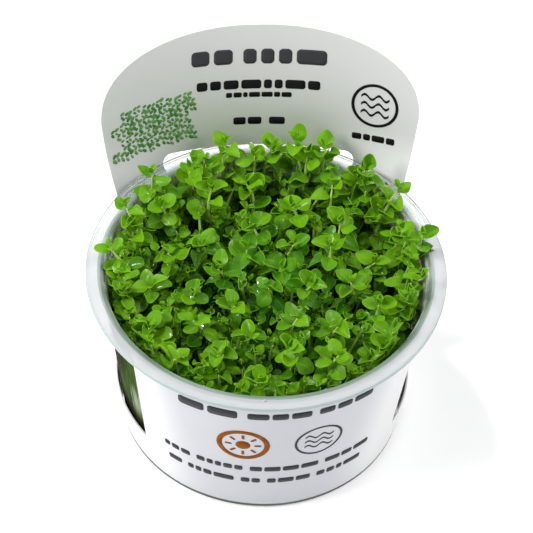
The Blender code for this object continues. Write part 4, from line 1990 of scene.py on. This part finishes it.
    def rim_row(self) -> list[Plantlet]:
        """Describe the plantlets by the wall: taller behind, lower in front, more at the sides."""
        dice = random.Random(9)
        found = []
        for index in range(self.rim_count):
            out = polar(1.0, math.tau * (index + dice.uniform(0.2, 0.8)) / self.rim_count)
            height = self.tip_height + dice.uniform(*self.rim_above)
            height += self.rim_rise * smooth(0.4, 0.98, out.y)
            height -= self.rim_drop * smooth(-0.2, -0.7, out.y)
            reach = self.rim_reach + dice.uniform(*self.rim_give)
            turn, leaf = dice.uniform(0.0, math.tau), dice.uniform(*self.rim_leaf)
            leaf += smooth(0.2, 0.8, out.y)
            found.append(self.by_wall(reach * out, height, turn, leaf, 1000 + index))
        for index in range(self.side_count):
            angle = dice.uniform(*self.side_span) + (math.pi if index % 3 == 0 else 0.0)
            place = polar(self.rim_reach + dice.uniform(*self.side_give), angle)
            height = self.tip_height + dice.uniform(*self.side_above)
            turn, leaf = dice.uniform(0.0, math.tau), dice.uniform(*self.side_leaf)
            found.append(self.by_wall(place, height, turn, leaf, 2000 + index))
        return found

    def by_wall(self, place: Vector, height: float, turn: float, leaf: float,
                seed: int) -> Plantlet:
        """Describe a leafy plantlet that leans out to a place by the wall.

        Args:
            place: The place, on the level.
            height: Height of its tip.
            turn: Its turn, in radians.
            leaf: Its leaf length.
            seed: Seed of what makes it differ.

        Returns:
            The plantlet.
        """
        foot = self.wall_foot * place + self.gel_top * UP
        return Plantlet(foot, place + height * UP, turn, leaf, Growth.LEAFY, (1.1, 0.8),
                        (0.0, 0.9), Detail.CLOSE, seed, 0.9)

    def build(self, shop: Workshop) -> None:
        """Grow every plantlet: one piece for each standing one, and the dense ones by sector.

        Args:
            shop: The workshop.
        """
        finishes = [LeafBlade("leaf_blade"), StemSkin("stem_skin")]
        standing = self.standing()
        groups = [plant_mesh() for _ in range(self.sectors)]
        dense = self.fillers([foot for foot, _, _, _ in standing]) + self.rim_row()
        for index, (foot, tip, turn, leaf) in enumerate(standing, start=1):
            bm = plant_mesh()
            self.shoot(index, foot, tip, turn, leaf).grow(bm, self.bounds)
            shop.piece(f"shoot_{index:02d}", bm, finishes, Slot.FOLIAGE,
                       [f"plantlet_{index:02d}"], 60.0)
            dense.append(self.undergrowth(index, foot, leaf))
        for plantlet in dense:
            turn = math.atan2(plantlet.foot.y, plantlet.foot.x) % math.tau
            plantlet.grow(groups[int(turn / math.tau * self.sectors) % self.sectors], self.bounds)
        for number, bm in enumerate(groups, start=1):
            shop.piece(f"carpet_{number}", bm, finishes, Slot.FOLIAGE, ["carpet_mat"], 60.0)


@dataclass(frozen=True)
class RootTangle:
    """Fine roots in the gel, and the dry fibres that lie on the carpet's low back edge."""

    cup: ClearCup
    carpet: Carpet
    roots: int = 90
    root_reach: float = 37.5
    root_start: Span = (7.5, 10.5)
    root_length: Span = (6.0, 12.0)
    root_thickness: float = 0.45
    fibres: int = 110
    fibre_arc: Span = (20.0, 160.0)
    fibre_above: Span = (-2.0, 3.0)
    fibre_length: Span = (1.5, 5.0)
    fibre_radius: Span = (36.5, 42.6)
    fibre_thickness: Span = (0.25, 0.6)
    bends: int = 8
    wander: float = 0.55
    taper: float = 0.6
    wall_gap: float = 0.9
    lowest: float = 2.0

    def strand(self, bm: bmesh.types.BMesh, dice: random.Random, start: Vector, heading: Vector,
               length: float, thickness: float) -> None:
        """Add one wandering strand.

        Args:
            bm: The mesh that takes it.
            dice: Source of its bends.
            start: Where it starts.
            heading: Its first direction.
            length: Its length.
            thickness: Its diameter where it starts.
        """
        path, direction = [start], heading.normalized()
        for _ in range(self.bends):
            aside, along, up = (dice.uniform(-most, most) for most in (1.0, 1.0, 0.7))
            direction = (direction + self.wander * Vector((aside, along, up))).normalized()
            point = path[-1] + direction * (length / self.bends)
            point.z = max(point.z, self.lowest)
            edge = self.cup.inner_radius(max(self.cup.straight_from, point.z)) - self.wall_gap
            path.append(held_in(point, edge))
        radii = [0.5 * thickness * (1.0 - self.taper * bend / self.bends)
                 for bend in range(self.bends + 1)]
        sweep(bm, path, radii, 4)

    def build(self, shop: Workshop) -> bpy.types.Object:
        """Grow the roots and lay the fibres.

        Args:
            shop: The workshop.

        Returns:
            The tangle.
        """
        dice = random.Random(9)
        bm = bmesh.new()
        for radius, angle in spread(self.roots, self.root_reach):
            start = polar(radius, angle, dice.uniform(*self.root_start))
            self.strand(bm, dice, start, -0.5 * UP, dice.uniform(*self.root_length),
                        self.root_thickness)
        for _ in range(self.fibres):
            angle = math.radians(dice.uniform(*self.fibre_arc))
            start = polar(dice.uniform(*self.fibre_radius), angle)
            start.z = self.carpet.surface(start.x, start.y) + dice.uniform(*self.fibre_above)
            heading = Vector((-math.sin(angle), math.cos(angle), dice.uniform(-0.2, 0.3)))
            self.strand(bm, dice, start, heading, dice.uniform(*self.fibre_length),
                        dice.uniform(*self.fibre_thickness))
        bmesh.ops.recalc_face_normals(bm, faces=bm.faces)
        return shop.piece("root_tangle", bm, [RootFibre("root_fibre")], Slot.FOLIAGE)


# Studio


@dataclass(frozen=True)
class Studio:
    """A pale paper floor, soft lamps and the camera of the photograph."""

    aim: Place = (0.0, 0.0, 0.0564)
    distance: float = 0.5204
    elevation: float = math.radians(47.84)
    azimuth: float = math.radians(-5.1)
    roll: float = 0.046
    lens: float = 127.0
    sensor: float = 36.0
    floor_reach: float = 3.0
    ambient: float = 0.30
    lamps: tuple[tuple[str, Place, float, float], ...] = (
        ("left", (-0.9, -0.15, 0.75), 0.5, 9.4), ("right", (0.95, -0.05, 0.75), 0.6, 6.0),
        ("top", (0.0, 0.05, 1.2), 0.9, 1.8), ("spark", (-0.25, 0.3, 0.9), 0.08, 2.8))

    def camera(self) -> None:
        """Make the camera and set it as the scene's own."""
        level = math.cos(self.elevation)
        back = Vector((math.sin(self.azimuth) * level, -math.cos(self.azimuth) * level,
                       math.sin(self.elevation)))
        right = UP.cross(back).normalized()
        up = back.cross(right)
        tilted_right = right * math.cos(self.roll) + up * math.sin(self.roll)
        tilted_up = up * math.cos(self.roll) - right * math.sin(self.roll)
        data = bpy.data.cameras.new("camera")
        data.lens = self.lens
        data.sensor_width = self.sensor
        made = put("camera", data)
        turn = Matrix((tilted_right, tilted_up, back)).transposed().to_4x4()
        made.matrix_world = Matrix.Translation(Vector(self.aim) + self.distance * back) @ turn
        bpy.context.scene.camera = made

    def lamp(self, name: str, place: Place, size: float, watts: float) -> None:
        """Hang a square soft lamp that faces the object.

        Args:
            name: The lamp's name.
            place: Where it hangs.
            size: Side of its square.
            watts: Its power.
        """
        data = bpy.data.lights.new(name, "AREA")
        data.size = size
        data.energy = watts
        made = put(name, data)
        made.location = place
        made.rotation_mode = "QUATERNION"
        made.rotation_quaternion = (Vector(place) - Vector(self.aim)).to_track_quat("Z", "Y")

    def floor(self, shop: Workshop) -> None:
        """Lay the floor, a flat sheet of paper.

        Args:
            shop: The workshop.
        """
        bm = bmesh.new()
        bmesh.ops.create_grid(bm, x_segments=8, y_segments=8, size=self.floor_reach)
        mesh = bpy.data.meshes.new("floor")
        bm.to_mesh(mesh)
        bm.free()
        mesh.materials.append(shop.dress(StudioPaper("studio_paper")))
        made = put("floor", mesh)

    def build(self, shop: Workshop) -> None:
        """Set up the camera, floor, lamps and ambient light.

        Args:
            shop: The workshop.
        """
        self.camera()
        self.floor(shop)
        for lamp in self.lamps:
            self.lamp(*lamp)
        world = bpy.data.worlds.new("studio")
        world.use_nodes = True
        background = world.node_tree.nodes["Background"]
        background.inputs["Color"].default_value = (1.0, 1.0, 1.0, 1.0)
        background.inputs["Strength"].default_value = self.ambient
        scene = bpy.context.scene
        scene.world = world
        scene.view_settings.view_transform = "Standard"


def main() -> None:
    """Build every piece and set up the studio."""
    logging.basicConfig(level=logging.INFO, format="%(name)s: %(message)s")
    shop = Workshop()
    cup = ClearCup()
    sleeve = CardSleeve(cup)
    bounds = Bounds(cup, sleeve)
    carpet = Carpet(cup, bounds)
    Studio().build(shop)
    cup.build(shop)
    sleeve.build(shop)
    SleevePrint(sleeve).build(shop)
    GelBed(cup).build(shop)
    carpet.build(shop)
    RootTangle(cup, carpet).build(shop)


if __name__ == "__main__":
    main()
